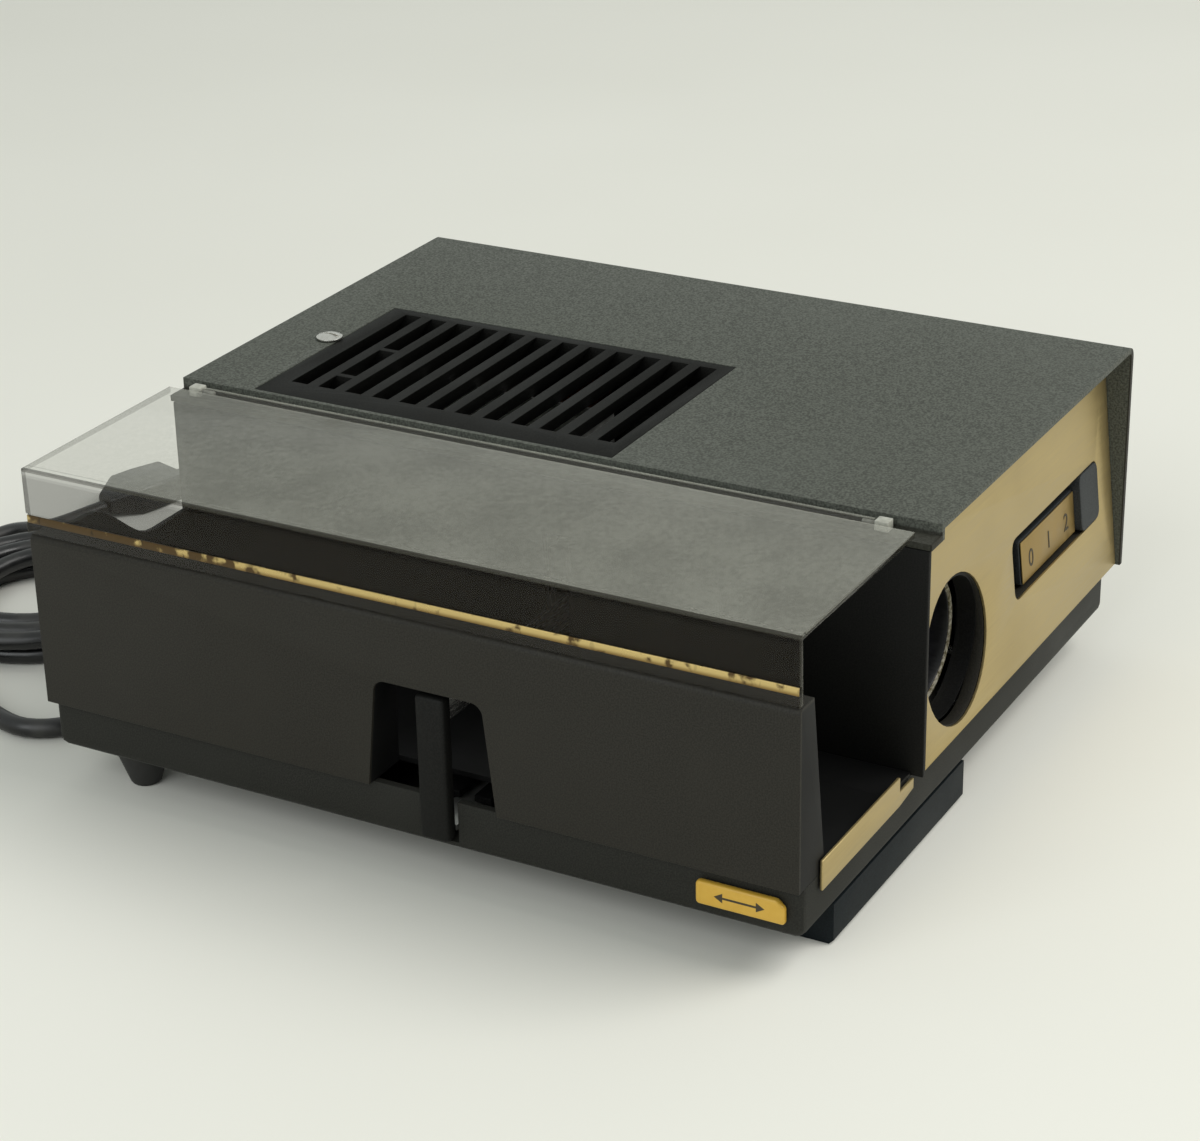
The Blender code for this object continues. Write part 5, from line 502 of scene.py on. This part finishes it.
def lamp(name, place, size, power, tint):
    """A square soft lamp that points at the projector."""
    data = bpy.data.lights.new(name, "AREA")
    data.shape = "SQUARE"
    data.size = size
    data.energy = power
    data.color = tint
    lamp_object = bpy.data.objects.new(name, data)
    bpy.context.scene.collection.objects.link(lamp_object)
    lamp_object.location = place
    heading = Vector(LAMP_AIM) - Vector(place)
    lamp_object.rotation_euler = heading.to_track_quat("-Z", "Y").to_euler()


lamp("key_lamp", place=(0.5, -1.5, 1.9), size=1.4, power=34, tint=(1.0, 0.985, 0.96))
lamp("side_lamp", place=(-1.9, 0.2, 1.2), size=1.6, power=17, tint=(0.95, 0.98, 1.0))
world = bpy.data.worlds.new("surround")
bpy.context.scene.world = world
world.use_nodes = True
surround = world.node_tree
backdrop = surround.nodes["Background"]
backdrop.inputs["Color"].default_value = shade(215, 220, 216)
path = surround.nodes.new("ShaderNodeLightPath")
seen = path.outputs["Is Camera Ray"]
for ray in ("Is Glossy Ray", "Is Transmission Ray"):
    either = surround.nodes.new("ShaderNodeMath")
    either.operation = "MAXIMUM"
    surround.links.new(seen, either.inputs[0])
    surround.links.new(path.outputs[ray], either.inputs[1])
    seen = either.outputs[0]
strength = surround.nodes.new("ShaderNodeMapRange")
surround.links.new(seen, strength.inputs["Value"])
strength.inputs["To Min"].default_value = SURROUND_GIVEN
strength.inputs["To Max"].default_value = SURROUND_SEEN
surround.links.new(strength.outputs[0], backdrop.inputs["Strength"])
bpy.context.scene.view_settings.view_transform = "Standard"


# Base pan
# The shallow tray that carries everything, injection moulded in dark brown-grey plastic
# with a fine spark-eroded grain. Bosses, bearing posts and foot ears are part of it.
MERGE_WITHIN = 0.00002
FLAT_WITHIN = math.radians(1)
BLUNT_EDGE = 0.0004


def rounded_copy(node, name, width, segments):
    """A copy of a node's solid with its edges rounded, as a moulding or pressing has them."""
    piece = bpy.data.objects.new(name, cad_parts[node].data.copy())
    bpy.context.scene.collection.objects.link(piece)
    piece.data.name = name
    only(piece)
    bpy.ops.object.mode_set(mode="EDIT")
    bpy.ops.mesh.select_all(action="SELECT")
    bpy.ops.mesh.remove_doubles(threshold=MERGE_WITHIN)
    bpy.ops.mesh.dissolve_limited(angle_limit=FLAT_WITHIN)
    bpy.ops.object.mode_set(mode="OBJECT")
    return round_edges(piece, width, segments)


def dress(node, name, width, finish, body, slot, segments=2):
    """A node's solid with rounded edges, in its finish, in the place of the node."""
    return settle(rounded_copy(node, name, width, segments), finish, body, slot, node)


def moulded(name, low, high, dull, shine=0.22):
    """Grained plastic: two tones of the grain, and the tone of its dull patches."""
    made = Finish(name, Specular_IOR_Level=shine)
    speck = made.grain(0.0005, 3.0)
    patch = made.grain(0.045, 3.0)
    tones = made.blend(made.ramp(speck, 0.36, 0.66), shade(*low), shade(*high))
    made.tones = made.blend(made.ramp(patch, 0.45, 0.75, 0, 0.4), tones, shade(*dull))
    made.colour(made.tones)
    made.roughness(made.ramp(patch, 0.3, 0.7, 0.52, 0.64))
    made.relief(speck, 0.00001)
    return made


base_plastic = moulded("base_plastic", (22, 22, 19), (38, 38, 33), (40, 40, 36))
dress("base_pan", "base_pan_moulding", BLUNT_EDGE, base_plastic, "projector",
      "dark_plastic")


# Base screws, rear feet and tilt foot
# Zinc-plated pan-head screws hold the base to the chassis. Two moulded rubber feet are
# pressed in at the rear; the broad tilt foot at the front swings on a steel pin.
SHARP_EDGE = 0.0002
SOFT_EDGE = 0.0003
zinc = varied("zinc_plate", 0.009, (168, 170, 168), (196, 196, 190), (0.32, 0.48), 2.0,
              metallic=0.9)
zinc.relief(zinc.grain(0.0015), 0.000006)
for index in (1, 2, 3, 4):
    node = f"base_screw_{index}"
    dress(node, node + "_turned", SHARP_EDGE, zinc, "projector", "zinc_steel")

foot_rubber = varied("foot_rubber", 0.005, (22, 22, 21), (38, 37, 35), (0.6, 0.75))
foot_rubber.relief(foot_rubber.grain(0.0006), 0.00003)
for node in ("rear_foot_near", "rear_foot_far"):
    dress(node, node + "_rubber", SOFT_EDGE, foot_rubber, "projector", "rubber")

black_moulding = moulded("black_moulding", (8, 8, 8), (22, 22, 21), (24, 24, 23), 0.15)
foot_plastic = moulded("foot_plastic", (9, 14, 17), (20, 28, 32), (24, 32, 36), 0.15)
dress("tilt_foot", "tilt_foot_moulding", BLUNT_EDGE, foot_plastic, "front_flap",
      "black_plastic")

bright_steel = varied("bright_steel", 0.0008, (190, 188, 182), (214, 212, 207), (0.18, 0.34),
                      stretch=(0.1, 1, 1), metallic=1.0)
dress("tilt_foot_pin", "tilt_foot_pin_ground", SOFT_EDGE, bright_steel, "projector",
      "bright_steel")


# Tray casing, channel walls and rear panel
# One moulding makes the near wall, with the finger notch, and the channel's floor; shade is
# painted near-black on its faces inside the notch and the channel. Separate black plates close
# the channel's rear, the housing's side and its back.
OUTER_SKIN = -0.1238
SKIN_DEPTH = 0.0006
CASING_TOP = 0.0885
CHANNEL_SIDE = -0.030
BORDER = 0.001
CASING_EDGE = 0.0005
moulding = moulded("dark_moulding", (31, 29, 25), (44, 42, 36), (48, 46, 40))
# Painted shade: faces inside the outer skin, below the rim and short of the channel side go
# near-black.
inside = moulding.ramp(moulding.along("X"), OUTER_SKIN, OUTER_SKIN + SKIN_DEPTH)
shade_below_rim = moulding.ramp(moulding.along("Z"), CASING_TOP, CASING_TOP - BORDER)
shade_before_wall = moulding.ramp(moulding.along("X"), CHANNEL_SIDE, CHANNEL_SIDE - BORDER)
moulding.colour(moulding.blend(inside * shade_below_rim * shade_before_wall, moulding.tones,
                               shade(9, 9, 9)))
dress("tray_casing", "tray_casing_moulding", CASING_EDGE, moulding, "projector",
      "dark_plastic")

wall_plastic = moulded("wall_plastic", (12, 12, 11), (24, 24, 22), (26, 26, 24), 0.15)
for node, width in (("channel_end_wall", BLUNT_EDGE), ("channel_wall", SOFT_EDGE),
                    ("rear_panel", SOFT_EDGE)):
    dress(node, node + "_moulding", width, wall_plastic, "projector", "dark_plastic")


# Top cover
# One bent steel sheet over the top and down the far side, stove-enamelled in grey-green
# wrinkle paint. Its cut front edge and the ledge beside the lid are darker.
FRONT_CUT, FRONT_CUT_INSIDE = -0.1348, -0.1343
LEDGE_TOP, LEDGE_BELOW = 0.1090, 0.1078
LEDGE_SIDE, LEDGE_OUTSIDE = -0.0382, -0.0388
FAR_INSIDE, FAR_OUTSIDE = 0.1215, 0.1222
wrinkle_paint = Finish("wrinkle_paint", Specular_IOR_Level=0.3)
crumb = wrinkle_paint.grain(0.0007, 3.0)
tone = wrinkle_paint.grain(0.06, 3.0)
painted = wrinkle_paint.blend(wrinkle_paint.ramp(crumb, 0.34, 0.66), shade(58, 60, 54),
                              shade(88, 91, 83))
worn_paint = wrinkle_paint.blend(wrinkle_paint.ramp(tone, 0.4, 0.8, 0, 0.3), painted,
                                 shade(84, 87, 80))
front_edge = wrinkle_paint.ramp(wrinkle_paint.along("Y"), FRONT_CUT_INSIDE, FRONT_CUT)
ledge = (wrinkle_paint.ramp(wrinkle_paint.along("Z"), LEDGE_TOP, LEDGE_BELOW)
         * wrinkle_paint.ramp(wrinkle_paint.along("X"), LEDGE_SIDE, LEDGE_OUTSIDE))
far_side = wrinkle_paint.ramp(wrinkle_paint.along("X"), FAR_INSIDE, FAR_OUTSIDE)
dark_share = wrinkle_paint.ramp(front_edge * (ledge + far_side) + ledge * 0.7, 0, 1)
wrinkle_paint.colour(wrinkle_paint.blend(dark_share, worn_paint, shade(34, 32, 24)))
wrinkle_paint.roughness(wrinkle_paint.ramp(crumb, 0.3, 0.7, 0.66, 0.54))
wrinkle_paint.relief(crumb, 0.00005)
dress("top_cover", "top_cover_sheet", BLUNT_EDGE, wrinkle_paint, "projector", "cover_paint", 3)


# Vent grille and its screw
# A deep moulded louvre over the lamp, let into the cover and held at its rear edge by a
# large nickel-plated screw with a driver slot.
LOUVRE_EDGE = 0.0009
SCREW_EDGE = 0.00025
grille_plastic = moulded("grille_plastic", (5, 5, 4), (24, 24, 21), (20, 20, 18), 0.12)
dress("vent_grille", "vent_grille_louvres", LOUVRE_EDGE, grille_plastic, "projector",
      "black_plastic", 3)
dress("grille_screw", "grille_screw_nickel", SCREW_EDGE, bright_steel, "projector",
      "bright_steel")


# Front panel, its backing and the lip of the channel
# Thin aluminium sheet, brushed and anodised in pale gold, in front of a dark moulding.
# The same sheet makes the lip that keeps the tray in the channel.
GOLD_SHEET_EDGE = 0.00015
gold_sheet = Finish("gold_anodised", metallic=0.75, Specular_IOR_Level=0.5)
brushing = gold_sheet.grain(0.0006, 3.0, (0.03, 1, 1))
stain = gold_sheet.grain(0.05, 3.0)
anodised = gold_sheet.blend(brushing, shade(164, 144, 98), shade(192, 172, 122))
gold_sheet.colour(gold_sheet.blend(gold_sheet.ramp(stain, 0.5, 0.8, 0, 0.3), anodised,
                                   shade(152, 134, 92)))
gold_sheet.roughness(gold_sheet.ramp(brushing, 0.2, 0.8, 0.34, 0.48))
gold_sheet.relief(brushing, 0.00001)
dress("front_panel", "front_panel_sheet", GOLD_SHEET_EDGE, gold_sheet, "projector",
      "gold_sheet")
dress("channel_front_plate", "channel_lip", SOFT_EDGE, gold_sheet, "projector", "gold_sheet")
dress("front_backing", "front_backing_moulding", SOFT_EDGE, moulding, "projector",
      "dark_plastic")


# Switch
# A moulded slider in the recess carries a thin gold plate, glued on, and ends in a knob.
# The black box behind it holds the contacts.
FINE_EDGE = 0.0001
dress("switch_housing", "switch_box", SOFT_EDGE, black_moulding, "projector",
      "black_plastic")
knob_plastic = moulded("knob_plastic", (34, 37, 40), (52, 55, 56), (64, 66, 64), 0.3)
dress("switch_slider", "switch_slider_moulding", SHARP_EDGE, knob_plastic, "power_slider",
      "black_plastic")
printed_gold = varied("printed_gold", 0.007, (140, 116, 66), (168, 142, 88), (0.36, 0.5),
                      metallic=0.7)
dress("legend_plate", "legend_plate_sheet", FINE_EDGE, printed_gold, "power_slider",
      "gold_sheet")


# Numbers on the switch plate
# Plain numbers for off, fan and lamp, printed in black on the gold plate. They lean back
# with the front and move with the slider.
PANEL_LEAN = math.radians(5.95)
PLATE_FOOT = Vector((0, -0.1335, 0.0316))
PLATE_FACE = 0.0020
NUMBER_SIZE = 0.0085
NUMBER_UP = 0.0272
PRINT_THICKNESS = 0.00004
NUMBERS = "012"
plate_low, plate_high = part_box("legend_plate")
numbers = []
for index, text in enumerate(NUMBERS):
    bpy.ops.object.select_all(action="DESELECT")
    bpy.ops.object.text_add(location=(0, 0, 0))
    number = bpy.context.active_object
    number.data.body = text
    number.data.size = NUMBER_SIZE
    number.data.align_x = "CENTER"
    number.data.extrude = PRINT_THICKNESS
    bpy.ops.object.convert(target="MESH")
    number = bpy.context.active_object
    across = plate_low.x + (plate_high.x - plate_low.x) * (index + 0.5) / len(NUMBERS)
    number.data.transform(
        Matrix.Translation(PLATE_FOOT) @ Matrix.Rotation(-PANEL_LEAN, 4, "X")
        @ Matrix.Translation((across, PLATE_FACE - 2 * PRINT_THICKNESS, NUMBER_UP))
        @ Matrix.Rotation(math.pi / 2, 4, "X"))
    numbers.append(number)
black_print = varied("black_print", 0.0006, (34, 28, 16), (70, 58, 34), (0.5, 0.65), 2.0)
settle(merge("plate_numbers", numbers), black_print, "power_slider", "black_plastic")


# Lens
# A black anodised barrel with a coated glass at each end, in a moulded carriage that
# slides on two ground rods, held by a folded steel bracket painted near-black as the shade
# inside the lens hole.
anodised_black = varied("anodised_black", 0.0007, (20, 20, 21), (42, 42, 43), (0.28, 0.42),
                        stretch=(1, 0.1, 1), metallic=0.6)
dress("lens_barrel", "lens_barrel_tube", SHARP_EDGE, anodised_black, "lens", "lens_black")

coated_glass = Finish("coated_glass", roughness=0.02, Transmission_Weight=1.0, IOR=1.52,
                      Coat_Weight=0.4, Coat_Roughness=0.02, Coat_Tint=shade(210, 190, 250))
film = coated_glass.grain(0.02, 2.0)
coated_glass.colour(coated_glass.blend(film, shade(236, 240, 246), shade(246, 248, 250)))
for node in ("lens_front_element", "lens_rear_element"):
    dress(node, node + "_glass", FINE_EDGE, coated_glass, "lens", "glass")
dress("lens_carriage", "lens_carriage_moulding", SOFT_EDGE, black_moulding, "lens",
      "black_plastic")
for node in ("lens_rod_lower", "lens_rod_upper"):
    dress(node, node + "_ground", SHARP_EDGE, bright_steel, "projector", "bright_steel")
# Painted shade: the bracket is coloured near-black so that the lens hole stays as dark as its
# shade.
hole_shade_steel = varied("steel_dark_for_hole_shade", 0.008, (16, 16, 17), (32, 32, 33), (0.4, 0.6),
                   metallic=0.5)
dress("rod_bracket", "rod_bracket_folded", SHARP_EDGE, hole_shade_steel, "projector", "zinc_steel")


# Lens liner and front ring
# A short black tube behind the hole in the gold sheet keeps the eye out of the housing.
# A bright turned ring is pressed onto the front of the barrel; its pale patches are painted
# glints.
LINER_RADIUS, LINER_BORE = 0.0231, 0.0224
LINER_FRONT, LINER_REAR = -0.1276, -0.1214
RING_RADIUS, RING_BORE, RING_THICKNESS = 0.0207, 0.0190, 0.0005
RING_GAP = 0.0001
TUBE_SIDES = 72
barrel_low, barrel_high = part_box("lens_barrel")
lens_axis = Vector(((barrel_low.x + barrel_high.x) / 2, 0,
                    (barrel_low.z + barrel_high.z) / 2))


def tube(name, front, rear, radius, bore):
    """A plain tube on the lens axis: its wall is turned round, then its caps come off."""
    wall = [(bore, rear), (bore, front), (radius, front), (radius, rear), (bore, rear)]
    piece = turned_up(name, lens_axis, (0, 1, 0), wall, TUBE_SIDES)
    only(piece)
    bpy.ops.object.mode_set(mode="EDIT")
    bpy.ops.mesh.select_all(action="SELECT")
    bpy.ops.mesh.remove_doubles(threshold=MERGE_WITHIN)
    pick_faces(piece, lambda middle, normal:
               math.dist((middle.x, middle.z), (lens_axis.x, lens_axis.z)) < bore / 4)
    bpy.ops.mesh.delete(type="ONLY_FACE")
    bpy.ops.mesh.select_all(action="SELECT")
    bpy.ops.mesh.normals_make_consistent(inside=False)
    bpy.ops.object.mode_set(mode="OBJECT")
    return smooth(piece)


settle(tube("lens_liner", LINER_FRONT, LINER_REAR, LINER_RADIUS, LINER_BORE),
       black_moulding, "projector", "black_plastic")
ring_with_painted_glints = Finish("ring_with_painted_glints", metallic=0.5)
swirl_and_glints = ring_with_painted_glints.grain(0.0012, 3.0)
# Painted glints: the ring's tone swings from dull brass to near-white patches that stand in
# for glints.
ring_with_painted_glints.colour(ring_with_painted_glints.blend(ring_with_painted_glints.ramp(swirl_and_glints, 0.4, 0.65), shade(150, 140, 108),
                                   shade(232, 226, 206)))
ring_with_painted_glints.roughness(ring_with_painted_glints.ramp(swirl_and_glints, 0.3, 0.7, 0.24, 0.4))
settle(tube("lens_ring", barrel_low.y - RING_THICKNESS, barrel_low.y - RING_GAP, RING_RADIUS,
            RING_BORE), ring_with_painted_glints, "lens", "bright_steel")


# Focus tab and arm
# A satin yellow tab on the side of the base, joined through a slot to a folded steel arm
# that moves the lens carriage. A plain double arrow is printed on it.
TAB_EDGE = 0.0009
yellow_plastic = varied("yellow_plastic", 0.004, (200, 154, 44), (214, 174, 72), (0.32, 0.46),
                        Specular_IOR_Level=0.5)
yellow_plastic.relief(yellow_plastic.grain(0.0007), 0.00002)
dress("focus_tab", "focus_tab_moulding", TAB_EDGE, yellow_plastic, "lens",
      "yellow_plastic", 3)
dress("focus_arm", "focus_arm_folded", SHARP_EDGE, zinc, "lens", "zinc_steel")

ARROW_REACH = 0.0062
ARROW_SIZE = 0.0018
ARROW_BAR = 0.00035
PRINT_LIFT = 0.00003
HEAD_DEPTH = 0.000072
focus_low, focus_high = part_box("focus_tab")
tab_face = Vector((focus_low.x, (focus_low.y + focus_high.y) / 2,
                   (focus_low.z + focus_high.z) / 2))
arrow_half = Vector((PRINT_LIFT, ARROW_REACH, ARROW_BAR))
arrow = [box("arrow_bar", tab_face - arrow_half, tab_face + arrow_half)]
for side in (-1, 1):
    bpy.ops.object.select_all(action="DESELECT")
    bpy.ops.mesh.primitive_cylinder_add(
        vertices=3, radius=ARROW_SIZE, depth=HEAD_DEPTH,
        location=tab_face + Vector((0, side * ARROW_REACH, 0)),
        rotation=(0 if side > 0 else math.pi, math.pi / 2, 0))
    bpy.ops.object.transform_apply(location=True, rotation=True, scale=True)
    arrow.append(bpy.context.active_object)
settle(merge("focus_arrow", arrow), black_print, "lens", "black_plastic")


# Lid
# A sheet of smoked acrylic, folded hot over the tray channel, with its hinge barrel in one
# piece. Dust lies on its top, shade is painted along its fold and cut ends, and a groove in
# its side takes a strip of gold foil.
LID_THICKNESS = 0.0022
LID_TOP_EDGE = -0.0473
LID_ROUNDING = 0.0004
FOLD_BEVEL, FOLD_MERGE = 0.00001, 0.00003
HINGE = (-0.0430, 0.1093)
HINGE_RADIUS = 0.0015
HINGE_ENDS = (-0.1155, 0.1235)
HINGE_TAB = (0.1090, 0.1105)
TAB_OVERLAP = 0.0003
FOIL_GROOVE = (0.0929, 0.0958)
FOIL_DEPTH = 0.0008
GROOVE_OVERRUN = 0.001
lid_low, lid_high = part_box("lid")
sheet = box("lid_sheet", lid_low, (LID_TOP_EDGE, lid_high.y, lid_high.z))
pick_faces(sheet, lambda middle, normal: normal.x > -0.5 and normal.z < 0.5)
bpy.ops.mesh.delete(type="FACE")
# A hairline bevel, merged again, leaves the fold's line just inside the corner
bpy.ops.mesh.select_all(action="SELECT")
bpy.ops.mesh.bevel(offset=FOLD_BEVEL, segments=1, affect="EDGES")
bpy.ops.mesh.remove_doubles(threshold=FOLD_MERGE)
bpy.ops.object.mode_set(mode="OBJECT")
walls = sheet.modifiers.new("walls", "SOLIDIFY")
walls.thickness = LID_THICKNESS
walls.offset = -1
bpy.ops.object.modifier_apply(modifier=walls.name)
groove = box("groove",
             (lid_low.x - GROOVE_OVERRUN, lid_low.y - GROOVE_OVERRUN, FOIL_GROOVE[0]),
             (lid_low.x + FOIL_DEPTH, lid_high.y + GROOVE_OVERRUN, FOIL_GROOVE[1]))
only(sheet)
cut = sheet.modifiers.new("groove", "BOOLEAN")
cut.object = groove
bpy.ops.object.modifier_apply(modifier=cut.name)
only(groove)
bpy.ops.object.delete()
round_edges(sheet, LID_ROUNDING, 2)
tab = box("tab", (LID_TOP_EDGE - TAB_OVERLAP, HINGE_ENDS[0], HINGE_TAB[0]),
          (HINGE[0], HINGE_ENDS[1], HINGE_TAB[1]))
barrel = turned_up("barrel", (HINGE[0], 0, HINGE[1]), (0, 1, 0),
                   [(HINGE_RADIUS, HINGE_ENDS[0]), (HINGE_RADIUS, HINGE_ENDS[1])], 24)
lid = smooth(merge("lid_acrylic", [sheet, tab, barrel]))

# Where the acrylic is dusty, smoky or carries painted shade along its fold and cut ends, in
# metres from its faces, and what it hides
DUST_LAYER = (0.0006, 0.0002)
SMOKY_TOP = (0.0030, 0.0026)
FOLD_LINE = (0.0012, 0.0008)
INNER_LINE_FAR = (0.0034, 0.0030)
INNER_LINE_NEAR = (0.0024, 0.0028)
CUT_END_LINE = (0.0006, 0.0003)
SIDE_COVER = 0.32
UPPER_COVER_CHANGE = -0.14
LINE_COVER = 0.45

smoked = Finish("smoked_acrylic", roughness=0.1, Specular_IOR_Level=0.35, IOR=1.49)


def from_low(axis, low, span):
    """0 at the span's first distance above the lid's low face, 1 at its second."""
    return smoked.ramp(smoked.along(axis), low + span[0], low + span[1])


def from_high(axis, high, span):
    """0 at the span's first distance below the lid's high face, 1 at its second."""
    return smoked.ramp(smoked.along(axis), high - span[0], high - span[1])


on_top = from_high("Z", lid_high.z, DUST_LAYER)
upper = from_high("Z", lid_high.z, SMOKY_TOP)
dust = smoked.grain(0.03, 4.0)
fine_dust = smoked.grain(0.0016, 3.0)
dusting = smoked.ramp(dust * 0.5 + fine_dust * 0.5, 0.35, 0.65, 0.25, 0.33)
# Painted shade: darker, more covering lines along the fold, over the inner fold corner and at
# the cut ends.
fold_shade_line = from_low("X", lid_low.x, FOLD_LINE) * from_high("Z", lid_high.z, FOLD_LINE)
inner_corner_shade_line = (from_low("X", lid_low.x, INNER_LINE_FAR)
              * from_low("X", lid_low.x, INNER_LINE_NEAR) * on_top)
cut_end_shade_line = from_low("Y", lid_low.y, CUT_END_LINE) + from_high("Y", lid_high.y, CUT_END_LINE)
line = fold_shade_line + inner_corner_shade_line * 0.5 + cut_end_shade_line * 0.6
faces = smoked.blend(on_top, shade(32, 27, 18), shade(208, 208, 194))
smoked.colour(smoked.blend(smoked.ramp(line, 0, 1), faces, shade(58, 56, 46)))
side_cover = upper * UPPER_COVER_CHANGE + SIDE_COVER
smoked.feed(smoked.shader.inputs["Alpha"], side_cover * (1 - on_top) + dusting * on_top
            + smoked.ramp(line, 0, 1, 0, LINE_COVER))
smoked.roughness(smoked.ramp(dust, 0.3, 0.7, 0.10, 0.20))
settle(lid, smoked, "lid_body", "smoked_acrylic", "lid")


# Foil strip and hinge tabs
# A strip of gold foil pressed into the lid's groove, rubbed through towards the rear, with
# shade painted on its lower part and a highlight on its upper part, as if it were half-round.
# Two small milky tabs beside the cover hold the ends of the lid's hinge barrel.
WEAR_START, WEAR_END = 0.010, 0.090
SHADED_CROWN_HEIGHT = 0.0016
foil = Finish("gold_foil", metallic=0.8)
worn = foil.ramp(foil.along("Y"), WEAR_START, WEAR_END)
scuffed = foil.grain(0.0055, 4.0)
nick = foil.grain(0.0022, 3.0, (1, 1, 0.3))
wear_share = foil.ramp(worn * 0.22 + scuffed, 0.56, 0.68)
nicks = foil.ramp(nick, 0.62, 0.68, 0, 0.7) * foil.ramp(worn, 0, 1, 0.30, 1)
# Painted shade and highlight: the flat foil darkens towards its lower edge and brightens above
# it.
shaded_crown = foil.ramp(foil.along("Z"), FOIL_GROOVE[0], FOIL_GROOVE[0] + SHADED_CROWN_HEIGHT)
gold = foil.blend(shaded_crown, shade(132, 106, 60), shade(202, 178, 118))
foil.colour(foil.blend(nicks, foil.blend(wear_share, gold, shade(84, 66, 40)),
                       shade(46, 38, 26)))
foil.roughness(foil.ramp(scuffed, 0.3, 0.7, 0.26, 0.42))
dress("lid_trim", "lid_foil", FINE_EDGE, foil, "lid_body", "gold_sheet")

milky = Finish("milky_acrylic", roughness=0.3, Specular_IOR_Level=0.5)
cast = milky.grain(0.002, 2.0)
milky.colour(milky.blend(cast, shade(176, 176, 164), shade(206, 206, 194)))
milky.feed(milky.shader.inputs["Alpha"], milky.ramp(cast, 0.3, 0.7, 0.65, 0.8))
for node in ("lid_post_front", "lid_post_rear"):
    dress(node, node + "_moulding", SHARP_EDGE, milky, "projector", "black_plastic")


# Slide changer, gate and tray gear
# The grip bar slides out with a steel arm and a blade that push the slide; the gate holds
# the slide upright behind the lens; the gear moves the tray on by one slide.
dress("changer_handle", "changer_grip", SOFT_EDGE, wall_plastic, "slide_changer",
      "dark_plastic")
dress("changer_arm", "changer_arm_pressed", SHARP_EDGE, zinc, "slide_changer", "zinc_steel")
dress("pusher_blade", "pusher_blade_ground", SHARP_EDGE, bright_steel, "slide_changer",
      "bright_steel")
for node in ("changer_guide", "slide_gate"):
    dress(node, node + "_moulding", SOFT_EDGE, black_moulding, "projector",
          "black_plastic")
dress("tray_gear", "tray_gear_moulding", SHARP_EDGE, black_moulding, "advance_gear",
      "black_plastic")


# Lamp house and its optics
# A folded steel shroud under the grille. Inside stand the halogen capsule in its ceramic
# socket, the mirror behind it, and the condensers with the heat filter between them.
for node in ("chassis_plate", "lamp_house", "condenser_cradle"):
    dress(node, node + "_pressed", SHARP_EDGE, zinc, "projector", "zinc_steel")

ceramic = varied("ceramic", 0.0009, (216, 210, 198), (232, 228, 218), (0.55, 0.75), 4.0,
                 Specular_IOR_Level=0.3)
ceramic.relief(ceramic.drift, 0.00005)
dress("lamp_socket", "lamp_socket_ceramic", BLUNT_EDGE, ceramic, "projector", "ceramic")


def pressed_glass(name, roughness, low, high):
    """Glass of one tint, with a faint smear on it."""
    made = Finish(name, roughness, Transmission_Weight=1.0, IOR=1.5)
    made.colour(made.blend(made.grain(0.012, 2.0), shade(*low), shade(*high)))
    return made


clear_glass = pressed_glass("clear_glass", 0.03, (240, 243, 243), (250, 251, 250))
for node in ("lamp", "condenser_front", "condenser_rear"):
    dress(node, node + "_glass", FINE_EDGE, clear_glass, "projector", "glass")
heat_glass = pressed_glass("heat_glass", 0.04, (182, 216, 208), (200, 228, 220))
dress("heat_glass", "heat_filter_glass", SHARP_EDGE, heat_glass, "projector", "glass")

silvering = varied("silvering", 0.008, (226, 226, 222), (240, 240, 238), (0.05, 0.14),
                   metallic=1.0)
dress("reflector", "reflector_silvered", SHARP_EDGE, silvering, "projector", "mirror")


# Fan, motor and transformer
# A pitched impeller blows through the lamp house, on the shaft of a small laminated
# motor. The transformer's core is a stack of iron sheets round a varnished winding.
LAMINATION_SCALE = 320.0
WINDING_SCALE = 260.0
dress("fan_impeller", "fan_impeller_moulding", SHARP_EDGE, black_moulding, "fan",
      "black_plastic")
dress("fan_shaft", "fan_shaft_ground", SHARP_EDGE, bright_steel, "fan", "bright_steel")
dress("motor_bracket", "motor_bracket_folded", SHARP_EDGE, zinc, "projector", "zinc_steel")


def laminated(name, across):
    """Varnished iron sheets, stacked along one direction."""
    made = Finish(name, metallic=0.6)
    sheet_edges = made.node("ShaderNodeTexWave", {"bands_direction": across},
                            {"Vector": made.place, "Scale": LAMINATION_SCALE,
                             "Distortion": 0.4, "Detail": 1.0})
    rust = made.grain(0.006, 3.0)
    iron = made.blend(sheet_edges, shade(66, 62, 58), shade(104, 99, 92))
    made.colour(made.blend(made.ramp(rust, 0.55, 0.75, 0, 0.5), iron, shade(98, 72, 50)))
    made.roughness(made.ramp(rust, 0.3, 0.7, 0.42, 0.6))
    made.relief(sheet_edges, 0.00008)
    return made


dress("fan_motor", "fan_motor_stack", SHARP_EDGE, laminated("motor_iron", "X"),
      "projector", "iron")
dress("transformer_core", "transformer_stack", SHARP_EDGE, laminated("core_iron", "Y"),
      "projector", "iron")
copper = Finish("copper_winding", metallic=0.5)
strands = copper.node("ShaderNodeTexWave", {"bands_direction": "Z"},
                      {"Vector": copper.place, "Scale": WINDING_SCALE, "Distortion": 0.3})
copper.colour(copper.blend(strands, shade(112, 58, 28), shade(186, 110, 62)))
copper.roughness(copper.ramp(strands, 0, 1, 0.42, 0.28))
copper.relief(strands, 0.00015)
dress("transformer_winding", "transformer_winding_wound", SOFT_EDGE, copper, "projector",
      "winding")
